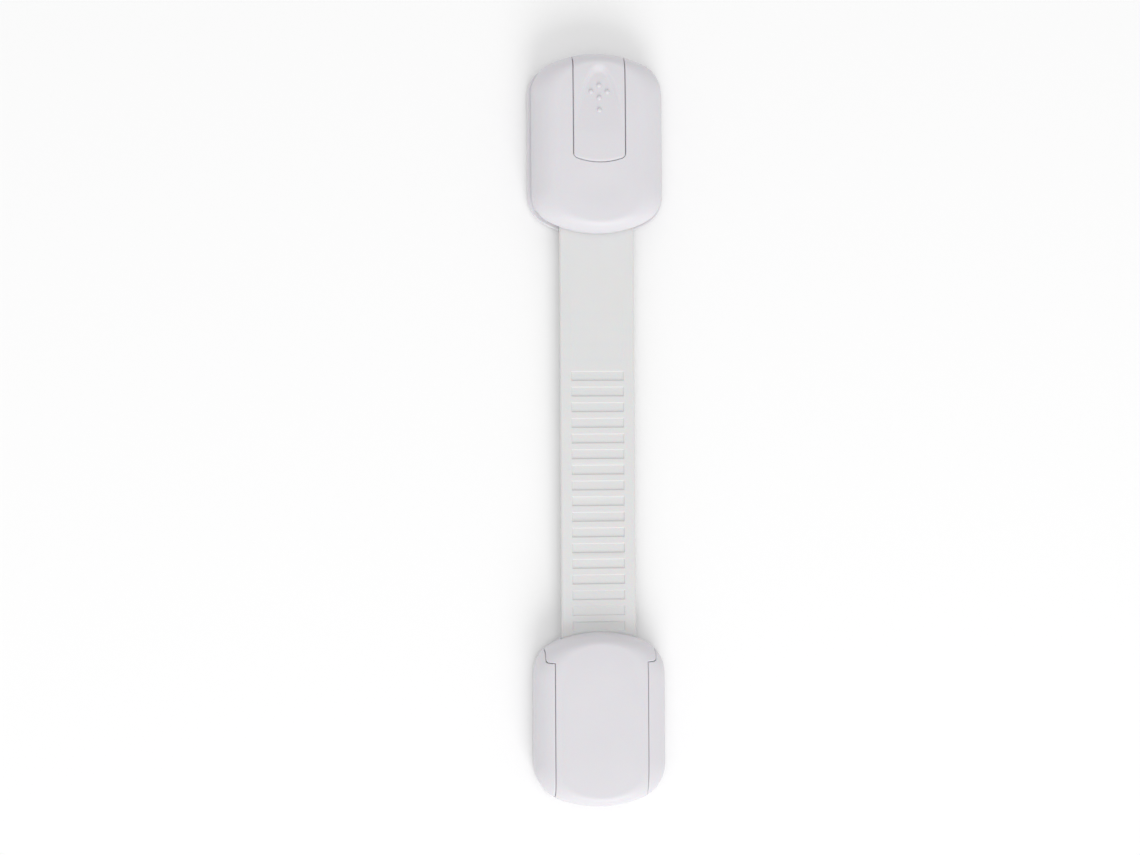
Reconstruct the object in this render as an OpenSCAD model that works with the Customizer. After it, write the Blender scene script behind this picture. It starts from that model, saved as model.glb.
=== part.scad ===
// Child-safety strap latch: a push-button head that slides off a stick-on catch plate,
// a ribbed flexible strap, and a stick-on adjuster whose cover slides open along the strap.
// The latch lies flat: X across the strap, +Y towards the button end, +Z away from the pads.

/* [Overall] */
// Length from the button end to the far end of the adjuster
overall_length = 225.4; // [187.8:0.2:275]
// Thickness of the double-sided foam pads
pad_thickness = 1; // [0.8:0.1:1.2]
// Inset of each pad from the plate that it is stuck to
pad_inset = 1.6; // [1:0.1:3]

/* [Strap] */
// Width of the strap
strap_width = 22.5; // [18.5:0.5:27]
// Thickness of the strap
strap_thickness = 1.8; // [1.5:0.1:2.2]
// Distance from one ladder pocket to the next
pocket_pitch = 4.7; // [3.9:0.1:5.7]
// Length of a ladder pocket along the strap
pocket_length = 3; // [2.4:0.1:3.2]
// Width of a ladder pocket across the strap
pocket_width = 16; // [13:0.5:17]
// Depth of the pockets in the face side
pocket_depth = 0.35; // [0.2:0.05:0.45]
// Depth of the ratchet grooves in the pad side
groove_depth = 0.55; // [0.4:0.05:0.6]
// Y of the first pocket's upper edge
first_pocket_y = 17.85; // [12:0.05:20]
// How far each flexing section of the strap can turn
flex_angle = 15; // [10:1:18]

/* [Release head] */
// Length of the button head
head_length = 53.7; // [44.7:0.1:64.5]
// Height of the button head's top above the pad face
head_height = 14.6; // [14:0.1:17.5]
// Wall thickness of the moulded shells
wall = 1.6; // [1.3:0.1:1.9]
// How far the catch plate shows round the head
plate_rim = 1.05; // [0.6:0.05:1.6]
// How far the catch plate runs past the head at the strap end
plate_tail = 0.7; // [0.3:0.1:1.2]
// Thickness of the catch plate
plate_thickness = 2; // [1.8:0.1:2.4]
// Thickness of the head's floor
floor_thickness = 1.2; // [1:0.1:1.4]
// Length of the two rails that the head slides on
rail_length = 27; // [20:0.5:28]
// Radius of the arcs that close the head's two ends
head_end_radius = 32.5; // [29:0.5:40]
// Radius of the head's four corners, seen from above
head_corner_radius = 9; // [8:0.5:10.5]

/* [Button] */
// Width of the button
button_width = 15.3; // [12.8:0.1:16]
// Length of the button, from its round lower edge to the head's end
button_length = 32.6; // [28:0.1:34]
// Angle that the button rocks through when it is pressed
press_angle = 4; // [3:0.1:4.2]
// Depth of the thumb scoop at its deep end
scoop_depth = 1.1; // [0.7:0.1:1.3]
// Radius of the steel pin that the button rocks on
pin_radius = 1; // [0.8:0.05:1.2]

/* [Adjuster] */
// Length of the adjuster
adjuster_length = 52.2; // [43.5:0.1:62.6]
// Height of the adjuster's top above the pad face
adjuster_height = 13.4; // [12.6:0.1:16]
// Width of each cheek beside the sliding cover
cheek_width = 5.55; // [4.8:0.05:6.6]
// Distance from the adjuster's strap end to the cover's shoulders
shoulder_inset = 8.8; // [7.5:0.1:10.5]
// Radius of the arcs that close the adjuster's two ends
adjuster_end_radius = 35; // [30:0.5:42]
// Radius of the adjuster's four corners, seen from above
adjuster_corner_radius = 11.2; // [9.6:0.2:12.4]

/* [Fits] */
// Gap between parts that slide on each other
slide_gap = 0.3; // [0.2:0.05:0.35]
// Gap between faces that rest over each other
face_gap = 0.2; // [0.15:0.05:0.25]
// Radial gap round a turning pin
pin_gap = 0.03; // [0.02:0.01:0.05]

/* [Hidden] */
$fn = 32;
eps = 0.01;
far = 200;

shell_white = "#e9e8ea";
strap_white = "#e2e2e2";
pad_grey = "#d9dadb";
steel = "#b9bcc0";

// Heights, from the pad face upwards
plate_top = pad_thickness + plate_thickness;
floor_bottom = plate_top + face_gap;
floor_top = floor_bottom + floor_thickness;
strap_bottom = floor_top;
strap_top = strap_bottom + strap_thickness;
strap_mid = (strap_bottom + strap_top) / 2;
bay_floor_top = strap_bottom - face_gap;

// Across the head, from the strap outwards
strap_half = strap_width / 2;
floor_half = strap_half + slide_gap + 1.35;
rail_inner = floor_half + slide_gap;
rail_stem = 1.4;
rail_flange = 2;
rail_outer = rail_inner + rail_stem + rail_flange;
lip_inner = rail_inner + rail_stem + slide_gap;
head_half = rail_outer + 1.2 + wall;
head_width = 2 * head_half;
plate_width = head_width + 2 * plate_rim;

// Along the head: these are measured from the head's centre
head_y = overall_length / 2 - head_length / 2;
front_post = [7, -(head_length / 2 - 7.85)];
rear_post = [min(11.5, floor_half - 1.4), head_length / 2 - 8.35];
post_radius = 2.6;
boss_radius = 3;
boss_height = 1.2;
rail_end = rear_post[1] - boss_radius - 2.4;
rail_start = rail_end - rail_length;
button_edge = head_length / 2 - button_length;
pivot_y = button_edge + 3.3;
pivot_z = strap_top + 3.2;
barrel_radius = pin_radius + 1.3;
lug_width = 2.2;
pin_length = button_width + 2 * (slide_gap + lug_width);
end_gap = (head_length / 2 - pivot_y) * sin(press_angle) + 0.25;
low_wall_top = floor_top + 0.9;
button_wall_bottom = low_wall_top + end_gap;
spring_y = head_length / 2 - 8.85;
spring_radius = 2.4;
spring_wire = 0.25;
spring_turns = 5;
spring_top = floor_top + 5.6;

// The spring tooth that holds the head on its rails
leaf_thickness = 0.4;
leaf_half = 2.6;
tooth_y = pivot_y + 12;
tooth_rise = 0.8;
tooth_top = floor_bottom + tooth_rise;
leaf_bottom = plate_top - 1;
leaf_start = tooth_y - 22;
leaf_end = tooth_y + 4;
leaf_seat = 5;
catch_rivet_y = leaf_start + leaf_seat / 2;
pusher_y = tooth_y + 1.6;
pusher_radius = 1.2;
rivet_radius = 1;

// The strap's flexing stretch: its hinge lines fall on the bars between pockets
flex_count = 5;
bar_length = pocket_pitch - pocket_length;
last_hinge_y = first_pocket_y - pocket_pitch - pocket_length - bar_length / 2;
function hinge_y(k) = last_hinge_y + (flex_count + 1 - k) * pocket_pitch;
flex_bevel = strap_thickness / 2 * tan(flex_angle / 2) + 0.03;
flex_gap = 0.05;
anchor_end_y = head_y + min(front_post[1] + 8, pivot_y - pin_radius - 1.4);

// Along and across the adjuster
adjuster_y = -(overall_length / 2 - adjuster_length / 2);
guide_inner = strap_half + slide_gap;
cheek_inner = guide_inner + 2.6;
adjuster_width = 2 * (cheek_inner + cheek_width);
guide_top = strap_top + 0.1;
cover_bottom = strap_top + slide_gap;
cover_half = cheek_inner - slide_gap;
skirt_inner = cover_half - wall;
tongue_reach = 1.1;
tongue_bottom = cover_bottom + 0.65;
tongue_height = 1.1;
ear_half = cheek_inner + 2.7;
shoulder_y = adjuster_length / 2 - shoulder_inset;
tail_end_y = adjuster_y - adjuster_length / 2 + 1.5;
bay_half = pocket_width / 2 + 0.8;
pawl_half = pocket_width / 2 - 0.6;
pawl_seat_z = bay_floor_top - 2.2;
pawl_start = -19;
bay_start = pawl_start - 1;
bay_end = 4;

function lerp(a, b, s) = a + (b - a) * s;

// Points of an arc about c, from angle a0 to a1
function arc(c, r, a0, a1, n) =
  [for (i = [0:n]) let (a = lerp(a0, a1, i / n)) c + r * [cos(a), sin(a)]];

// One end of the plan outline: a corner arc, the wide end arc and the other corner arc,
// tangent to each other
function outline_end(w, l, end_r, corner_r) =
  let (
    cx = w / 2 - corner_r,
    reach = sqrt(pow(end_r - corner_r, 2) - cx * cx),
    ey = l / 2 - end_r,
    meet = atan2(reach, cx),
    step = (180 - 2 * meet) / 8
  )
  concat(
    arc([cx, ey + reach], corner_r, 0, meet, 5),
    arc([0, ey], end_r, meet + step, 180 - meet - step, 6),
    arc([-cx, ey + reach], corner_r, 180 - meet, 180, 5)
  );

// The closed plan outline of a head, in order round it
function outline(w, l, end_r, corner_r) =
  let (top = outline_end(w, l, end_r, corner_r))
  concat(top, [for (p = top) -p]);

function lifted(points, z) = [for (p = points) [p[0], p[1], z]];

// A solid skinned over a list of closed rings that all have the same number of points
module ring_stack(rings) {
  n = len(rings[0]);
  top = (len(rings) - 1) * n;
  walls = [for (i = [0:len(rings) - 2]) for (j = [0:n - 1]) for (f = [0, 1])
    let (a = i * n + j, b = i * n + (j + 1) % n)
    f == 0 ? [a, a + n, b + n] : [a, b + n, b]];
  caps = [[for (j = [0:n - 1]) j], [for (j = [n - 1:-1:0]) top + j]];
  polyhedron([for (ring = rings) for (p = ring) p], concat(walls, caps));
}

// A smooth pebble-shaped solid: upright sides, a rolled edge, and a gently crowned top.
// t is how far its whole surface is moved inwards.
module pebble(w, l, end_r, corner_r, z0, side_z, top_z, t = 0) {
  roll_x = 7.6;
  roll_y = 3.6;
  crown = 0.5;
  plateau_w = w - 2 * roll_x;
  plateau_l = l - 2 * roll_y;
  plateau_end_r = plateau_w / 2 + 1.6;
  plateau_corner_r = plateau_w / 2 - 1.2;
  edge_z = top_z - crown - t;
  foot = lifted(outline(w - 2 * t, l - 2 * t, end_r - t, corner_r - t), z0);
  roll = [for (a = [0:15:90]) let (s = 1 - cos(a))
    lifted(outline(
      lerp(w, plateau_w, s) - 2 * t,
      lerp(l, plateau_l, s) - 2 * t,
      lerp(end_r, plateau_end_r, s) - t,
      lerp(corner_r, plateau_corner_r, s) - t
    ), side_z + (edge_z - side_z) * sin(a))];
  crest = lifted(outline(plateau_w * 0.55, plateau_l * 0.72, plateau_w, plateau_w * 0.2), top_z - t);
  ring_stack(concat([foot], roll, [crest]));
}

module head_pebble(t = 0, z0 = floor_bottom) {
  pebble(
    head_width, head_length, head_end_radius, head_corner_radius,
    z0, floor_top + 3, head_height, t
  );
}

module adjuster_pebble(t = 0, z0 = pad_thickness) {
  pebble(
    adjuster_width, adjuster_length, adjuster_end_radius, adjuster_corner_radius,
    z0, floor_top + 2.4, adjuster_height, t
  );
}

// A box given by its two corners
module block(low, high) {
  translate(low) cube(high - low);
}

// The same box on both sides of the YZ plane
module both_sides(low, high) {
  for (side = [0, 1]) mirror([side, 0, 0]) block(low, high);
}

module rod(r, z0, z1) {
  translate([0, 0, z0]) cylinder(r = r, h = z1 - z0);
}

// A profile drawn in the YZ plane, extruded to x = -half .. half
module side_profile(points, half) {
  translate([-half, 0, 0]) rotate([90, 0, 90]) linear_extrude(height = 2 * half) polygon(points);
}

module at_posts(post) {
  for (side = [-1, 1]) translate([side * post[0], post[1], 0]) children();
}

module all_posts() {
  at_posts(front_post) children();
  at_posts(rear_post) children();
}

// ---- Catch plate side ----

module release_adhesive_pad() {
  color(pad_grey) translate([0, head_y, 0]) linear_extrude(height = pad_thickness)
    polygon(outline(
      plate_width - 2 * pad_inset, head_length - 2 * pad_inset,
      head_end_radius - pad_inset, head_corner_radius - pad_inset
    ));
}

module catch_base() {
  color(shell_white) translate([0, head_y, 0]) {
    difference() {
      translate([0, -plate_tail / 2, pad_thickness]) linear_extrude(height = plate_thickness)
        polygon(outline(plate_width, head_length + plate_tail, head_end_radius, head_corner_radius));
      // slot that the leaf flexes down into, and the seat that it is riveted to
      block(
        [-leaf_half - slide_gap, leaf_start + leaf_seat, 0],
        [leaf_half + slide_gap, leaf_end + 0.6, far]
      );
      block(
        [-leaf_half - face_gap, leaf_start - face_gap, leaf_bottom],
        [leaf_half + face_gap, leaf_start + leaf_seat + 1, far]
      );
      translate([0, catch_rivet_y, 0]) rod(rivet_radius + pin_gap, 0, far);
    }
    // rails with flanges that face outwards
    rail_neck_top = floor_top + face_gap;
    both_sides(
      [rail_inner, rail_start, plate_top - eps],
      [rail_inner + rail_stem, rail_end, rail_neck_top + eps]
    );
    both_sides([rail_inner, rail_start, rail_neck_top], [rail_outer, rail_end, rail_neck_top + 1.2]);
  }
}

module catch_spring() {
  lt = leaf_thickness;
  color(steel) translate([0, head_y, 0]) difference() {
    side_profile([
      [leaf_start, leaf_bottom], [tooth_y + lt, leaf_bottom], [tooth_y + lt, tooth_top - lt],
      [tooth_y + 2.1, tooth_top - lt], [leaf_end - 0.1, leaf_bottom + 0.1], [leaf_end, leaf_bottom + lt],
      [tooth_y + 2.3, tooth_top], [tooth_y, tooth_top], [tooth_y, leaf_bottom + lt],
      [leaf_start, leaf_bottom + lt]
    ], leaf_half);
    translate([0, catch_rivet_y, 0]) rod(rivet_radius + pin_gap, 0, far);
  }
}

module catch_spring_rivet() {
  color(steel) translate([0, head_y + catch_rivet_y, 0]) {
    rod(rivet_radius, pad_thickness + 0.1, leaf_bottom + leaf_thickness + 0.1);
    rod(rivet_radius + 0.7, leaf_bottom + leaf_thickness, leaf_bottom + leaf_thickness + 0.5);
  }
}

// ---- Button head ----

module latch_floor() {
  color(shell_white) translate([0, head_y, 0]) difference() {
    union() {
      intersection() {
        translate([0, 0, floor_bottom]) linear_extrude(height = floor_thickness)
          polygon(outline(
            head_width - 2 * wall - 2 * face_gap, head_length - 2 * wall - 2 * face_gap,
            head_end_radius - wall - face_gap, head_corner_radius - wall - face_gap
          ));
        union() {
          block([-floor_half, -far, 0], [floor_half, far, far]);
          block([-far, rail_end + slide_gap, 0], [far, far, far]);
        }
      }
      all_posts() rod(boss_radius, floor_top - eps, floor_top + boss_height);
      translate([0, spring_y, 0]) rod(spring_radius - spring_wire - 0.35, floor_top - eps, floor_top + 1.8);
      // posts that reach up into the lugs' slots and keep the pin in them
      both_sides(
        [button_width / 2 + slide_gap + 0.2, pivot_y - 0.8 * pin_radius, floor_top - eps],
        [button_width / 2 + slide_gap + lug_width, pivot_y + 0.8 * pin_radius, pivot_z - pin_radius - pin_gap]
      );
    }
    // screw heads sit flush underneath
    all_posts() {
      rod(2.1, 0, floor_bottom + 1.15);
      rod(1.1, 0, far);
    }
    block(
      [-leaf_half - 0.6, tooth_y - face_gap, 0],
      [leaf_half + 0.6, leaf_end + 0.3, floor_top + eps]
    );
  }
}

// Plan of the button, from its round lower edge to beyond the head's end
module button_plan(half, edge) {
  sag = 1.5;
  edge_r = (half * half + sag * sag) / (2 * sag);
  sweep = asin(half / edge_r);
  linear_extrude(height = far) polygon(concat(
    arc([0, edge + edge_r], edge_r, 270 - sweep, 270 + sweep, 14),
    [[half, far], [-half, far]]
  ));
}

module latch_housing() {
  color(shell_white) translate([0, head_y, 0]) difference() {
    union() {
      difference() {
        head_pebble();
        head_pebble(t = wall, z0 = 0);
        // strap and rails pass under the strap-side wall
        block([-(rail_outer + 0.6), -far, 0], [rail_outer + 0.6, -(head_length / 2 - 8), cover_bottom]);
      }
      // lips that ride under the rail flanges
      intersection() {
        head_pebble();
        both_sides([lip_inner, -(head_length / 2 - 3), floor_bottom], [far, rail_end + slide_gap, floor_top]);
      }
      // screw posts and the lugs that hold the button's pin
      intersection() {
        head_pebble(t = wall / 2);
        union() {
          all_posts() rod(post_radius, floor_top + boss_height + 0.1, far);
          for (side = [-1, 1])
            translate([side * (button_width / 2 + slide_gap + lug_width / 2), pivot_y, 0])
              block([-lug_width / 2, -2.4, pivot_z - 2.2], [lug_width / 2, 2.4, far]);
        }
      }
    }
    all_posts() rod(1.05, 0, floor_top + 7);
    translate([0, 0, low_wall_top]) button_plan(button_width / 2 + slide_gap, button_edge - slide_gap);
    // slots in the lugs, open below, that the pin is pushed up into
    translate([-pin_length / 2 - eps, pivot_y, pivot_z]) rotate([0, 90, 0])
      cylinder(r = pin_radius + pin_gap, h = pin_length + 2 * eps);
    both_sides(
      [0, pivot_y - pin_radius - pin_gap, pivot_z - 3],
      [pin_length / 2 + eps, pivot_y + pin_radius + pin_gap, pivot_z]
    );
  }
}

module housing_screws() {
  color(steel) translate([0, head_y, 0]) all_posts() {
    rod(1.95, floor_bottom + 0.1, floor_bottom + 1.1);
    rod(1, floor_bottom + 1, floor_top + 6.2);
  }
}

// Plan of the thumb scoop: a round-headed arch that opens towards the strap
module scoop_plan() {
  apex = button_length - 5.3;
  wide = button_width / 2 - 0.45;
  linear_extrude(height = 10)
    polygon([for (i = [-10:10]) let (u = i / 10) [wide * u, apex - 15.5 * pow(abs(u), 2.3)]]);
}

module release_button() {
  plate = 2.4;
  root_z = head_height - plate + 0.4;
  scoop_start = button_edge + 8;
  scoop_slope = scoop_depth / 20;
  color(shell_white) translate([0, head_y, 0]) {
    difference() {
      union() {
        intersection() {
          difference() {
            head_pebble();
            intersection() {
              head_pebble(t = plate, z0 = 0);
              block([-button_width / 2 + 1.2, -far, 0], [button_width / 2 - 1.2, far, far]);
            }
          }
          translate([0, 0, button_wall_bottom]) button_plan(button_width / 2, button_edge);
        }
        // pin barrel, the finger that pushes the spring tooth down, and the coil's seat
        translate([-button_width / 2 + 0.3, pivot_y, pivot_z]) rotate([0, 90, 0])
          cylinder(r = barrel_radius, h = button_width - 0.6);
        block(
          [-button_width / 2 + 0.3, pivot_y - barrel_radius, pivot_z],
          [button_width / 2 - 0.3, pivot_y + barrel_radius, root_z]
        );
        translate([0, pusher_y, 0]) rod(pusher_radius, tooth_top + 0.1, root_z);
        translate([0, spring_y, 0]) rod(spring_radius + 0.4, spring_top + 0.05, root_z);
      }
      translate([0, scoop_start, head_height]) rotate([-atan(scoop_slope), 0, 0])
        translate([0, button_edge - scoop_start, 0]) scoop_plan();
      translate([-far, pivot_y, pivot_z]) rotate([0, 90, 0])
        cylinder(r = pin_radius + pin_gap, h = 2 * far);
    }
    // raised grip dots, in the form of an arrow that points to the head's end
    for (p = [[0, 0], [-2.45, -1.9], [2.45, -1.9], [0, -3.7], [0, -7.4]])
      let (y = head_length / 2 - 10.3 + p[1], z = head_height - scoop_slope * (y - scoop_start))
      translate([p[0], y, 0]) rod(0.65, z - 1, z + 0.35);
  }
}

module button_pin() {
  color(steel) translate([-pin_length / 2, head_y + pivot_y, pivot_z]) rotate([0, 90, 0])
    cylinder(r = pin_radius, h = pin_length);
}

// A helix with an eight-sided wire
module button_spring() {
  steps = spring_turns * 20;
  bottom = floor_top + spring_wire + 0.03;
  top = spring_top - spring_wire - 0.03;
  color(steel) translate([0, head_y + spring_y, 0]) ring_stack(
    [for (i = [0:steps]) let (a = 360 * spring_turns * i / steps, z = lerp(bottom, top, i / steps))
      [for (b = [0:45:315]) let (r = spring_radius + spring_wire * cos(b))
        [r * cos(a), r * sin(a), z - spring_wire * sin(b)]]]
  );
}

// ---- Strap ----

// Ladder pockets in the face and ratchet grooves in the pad side, for pockets k0 to k1
module ladder_cuts(k0, k1) {
  for (k = [k0:k1]) let (y1 = first_pocket_y - k * pocket_pitch, y0 = y1 - pocket_length) {
    block([-pocket_width / 2, y0, strap_top - pocket_depth], [pocket_width / 2, y1, far]);
    block([-pocket_width / 2, y0, 0], [pocket_width / 2, y1, strap_bottom + groove_depth]);
  }
}

// A length of strap from y0 to y1. An end that meets a hinge line is bevelled from its mid-plane.
module strap_length(y0, y1, hinge0 = true, hinge1 = true) {
  g0 = hinge0 ? flex_gap : 0;
  g1 = hinge1 ? flex_gap : 0;
  b0 = hinge0 ? flex_bevel : 0;
  b1 = hinge1 ? flex_bevel : 0;
  side_profile([
    [y0 + g0 + b0, strap_bottom], [y1 - g1 - b1, strap_bottom], [y1 - g1, strap_mid],
    [y1 - g1 - b1, strap_top], [y0 + g0 + b0, strap_top], [y0 + g0, strap_mid]
  ], strap_half);
}

module strap_anchor_end() {
  color(strap_white) difference() {
    strap_length(hinge_y(1), anchor_end_y, hinge1 = false);
    translate([0, head_y, 0]) at_posts(front_post) rod(boss_radius + face_gap, 0, far);
  }
}

module strap_flex(k) {
  first = ceil((first_pocket_y - pocket_length / 2 - hinge_y(k)) / pocket_pitch);
  color(strap_white) difference() {
    strap_length(hinge_y(k + 1), hinge_y(k));
    if (first >= 0) ladder_cuts(first, first);
  }
}

module strap_ladder() {
  last = floor((first_pocket_y - pocket_length - tail_end_y - 1) / pocket_pitch);
  color(strap_white) difference() {
    strap_length(tail_end_y, hinge_y(flex_count + 1), hinge0 = false);
    ladder_cuts(2, last);
  }
}

// ---- Adjuster ----

module adjuster_adhesive_pad() {
  color(pad_grey) translate([0, adjuster_y, 0]) linear_extrude(height = pad_thickness)
    polygon(outline(
      adjuster_width - 2 * pad_inset, adjuster_length - 2 * pad_inset,
      adjuster_end_radius - pad_inset, adjuster_corner_radius - pad_inset
    ));
}

// Plan of the sliding cover: a panel between the cheeks, with ears at the strap end
module cover_plan(gap) {
  block([-cheek_inner + gap, -far, 0], [cheek_inner - gap, far, far]);
  block([-ear_half + gap, shoulder_y + gap, 0], [ear_half - gap, far, far]);
}

module adjuster_base() {
  color(shell_white) translate([0, adjuster_y, 0]) difference() {
    adjuster_pebble();
    // the bay for the cover, and the strap's channel below it
    difference() {
      translate([0, 0, bay_floor_top]) cover_plan(0);
      both_sides([guide_inner, -far, 0], [far, far, guide_top]);
    }
    // grooves for the cover's tongues, open at the strap end
    both_sides(
      [cheek_inner - eps, pawl_start - 1, tongue_bottom - face_gap],
      [cheek_inner + tongue_reach, far, tongue_bottom + tongue_height + face_gap]
    );
    block([-bay_half, bay_start, pawl_seat_z], [bay_half, bay_end, far]);
    at_posts([5, pawl_start + 3]) rod(rivet_radius + pin_gap, 0, far);
  }
}

module strap_pawl() {
  lt = 0.5;
  // pockets of the strap that the two teeth sit in
  k = floor((first_pocket_y - adjuster_y) / pocket_pitch);
  function tooth_mid(n) = first_pocket_y - (k + n) * pocket_pitch - pocket_length / 2 - adjuster_y;
  a = tooth_mid(0);
  b = tooth_mid(1);
  tip = strap_bottom + groove_depth - 0.1;
  arm = bay_floor_top - 1.2;
  half_tip = pocket_length / 2 - 1;
  half_root = pocket_length / 2 - 0.3;
  color(steel) translate([0, adjuster_y, 0]) difference() {
    side_profile([
      [pawl_start, pawl_seat_z], [pawl_start + 6, pawl_seat_z], [b - half_root, arm],
      [a + half_root, arm], [a + half_root, arm + lt], [a + half_tip, tip], [a - half_tip, tip],
      [a - half_root, arm + lt], [b + half_root, arm + lt], [b + half_tip, tip], [b - half_tip, tip],
      [b - half_root, arm + lt], [pawl_start + 6, pawl_seat_z + lt], [pawl_start, pawl_seat_z + lt]
    ], pawl_half);
    at_posts([5, pawl_start + 3]) rod(rivet_radius + pin_gap, 0, far);
  }
}

module pawl_rivets() {
  color(steel) translate([0, adjuster_y, 0]) at_posts([5, pawl_start + 3]) {
    rod(rivet_radius, pad_thickness + 0.1, pawl_seat_z + 0.6);
    rod(rivet_radius + 0.8, pawl_seat_z + 0.5, pawl_seat_z + 1.1);
  }
}

module adjuster_cover() {
  color(shell_white) translate([0, adjuster_y, 0]) {
    intersection() {
      difference() {
        adjuster_pebble();
        // hollow below, in two parts: the rib between them keeps the strap down on the pawl
        intersection() {
          adjuster_pebble(t = wall, z0 = 0);
          union() {
            block([-skirt_inner, -far, 0], [skirt_inner, -1.5, far]);
            block([-skirt_inner, 0, 0], [skirt_inner, far, far]);
          }
        }
      }
      translate([0, 0, cover_bottom]) cover_plan(slide_gap);
    }
    // tongues that run in the cheeks' grooves
    both_sides(
      [cover_half - eps, pawl_start, tongue_bottom],
      [cheek_inner + tongue_reach - face_gap, shoulder_y - 1, tongue_bottom + tongue_height]
    );
  }
}

release_adhesive_pad();
catch_base();
catch_spring();
catch_spring_rivet();
latch_floor();
latch_housing();
housing_screws();
release_button();
button_pin();
button_spring();
strap_anchor_end();
strap_flex(1);  // strap_flex_1
strap_flex(2);  // strap_flex_2
strap_flex(3);  // strap_flex_3
strap_flex(4);  // strap_flex_4
strap_flex(5);  // strap_flex_5
strap_ladder();
adjuster_adhesive_pad();
adjuster_base();
strap_pawl();
pawl_rivets();
adjuster_cover();
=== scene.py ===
"""Looks of a child-safety strap latch: push-button head, ladder strap and stick-on adjuster.

Lengths in this file are millimetres in the row frame; they turn into metres when a mesh is made.
"""

from __future__ import annotations

import logging
from dataclasses import dataclass, field
from enum import Enum
from typing import Callable, Sequence

import bmesh
import bpy
import numpy as np
from mathutils import Matrix, Vector


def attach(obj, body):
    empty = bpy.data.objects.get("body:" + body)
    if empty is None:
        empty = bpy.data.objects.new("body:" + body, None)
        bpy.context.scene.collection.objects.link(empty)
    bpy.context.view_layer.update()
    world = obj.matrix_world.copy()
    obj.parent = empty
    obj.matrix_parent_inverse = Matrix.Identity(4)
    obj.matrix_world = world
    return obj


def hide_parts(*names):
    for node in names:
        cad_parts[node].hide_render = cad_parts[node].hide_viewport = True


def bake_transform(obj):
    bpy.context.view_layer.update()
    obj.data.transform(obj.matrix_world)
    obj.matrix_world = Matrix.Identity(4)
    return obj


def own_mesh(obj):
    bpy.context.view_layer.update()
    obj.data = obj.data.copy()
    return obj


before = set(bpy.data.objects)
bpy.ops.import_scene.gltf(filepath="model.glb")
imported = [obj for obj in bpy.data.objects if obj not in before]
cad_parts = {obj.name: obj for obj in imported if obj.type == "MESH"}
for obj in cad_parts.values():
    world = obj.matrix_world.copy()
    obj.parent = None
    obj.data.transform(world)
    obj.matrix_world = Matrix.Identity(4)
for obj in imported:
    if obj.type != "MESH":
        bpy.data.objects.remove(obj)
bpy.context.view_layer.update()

LOG = logging.getLogger("latch")
MM = 0.001
QUARTER = np.pi / 2
Array = np.ndarray


# ---------------------------------------------------------------- meshes


class Facing(Enum):
    """The way that the faces of a grid look, used to turn them the right way out."""

    UP = "up"
    DOWN = "down"
    OUTWARD = "away from the part's middle, seen from above"
    INWARD = "towards the part's middle, seen from above"


def quad_index(rows: int, cols: int, closed: bool = False) -> Array:
    """Corner numbers of the quads between neighbouring rows and columns of a grid.

    Args:
        rows: number of rows.
        cols: number of columns.
        closed: whether the last column joins the first.

    Returns:
        n x 4 indices into the flattened grid.
    """
    index = np.arange(rows * cols).reshape(rows, cols)
    if closed:
        index = np.hstack([index, index[:, :1]])
    corners = (index[:-1, :-1], index[:-1, 1:], index[1:, 1:], index[1:, :-1])
    return np.stack(corners, -1).reshape(-1, 4)


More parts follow.
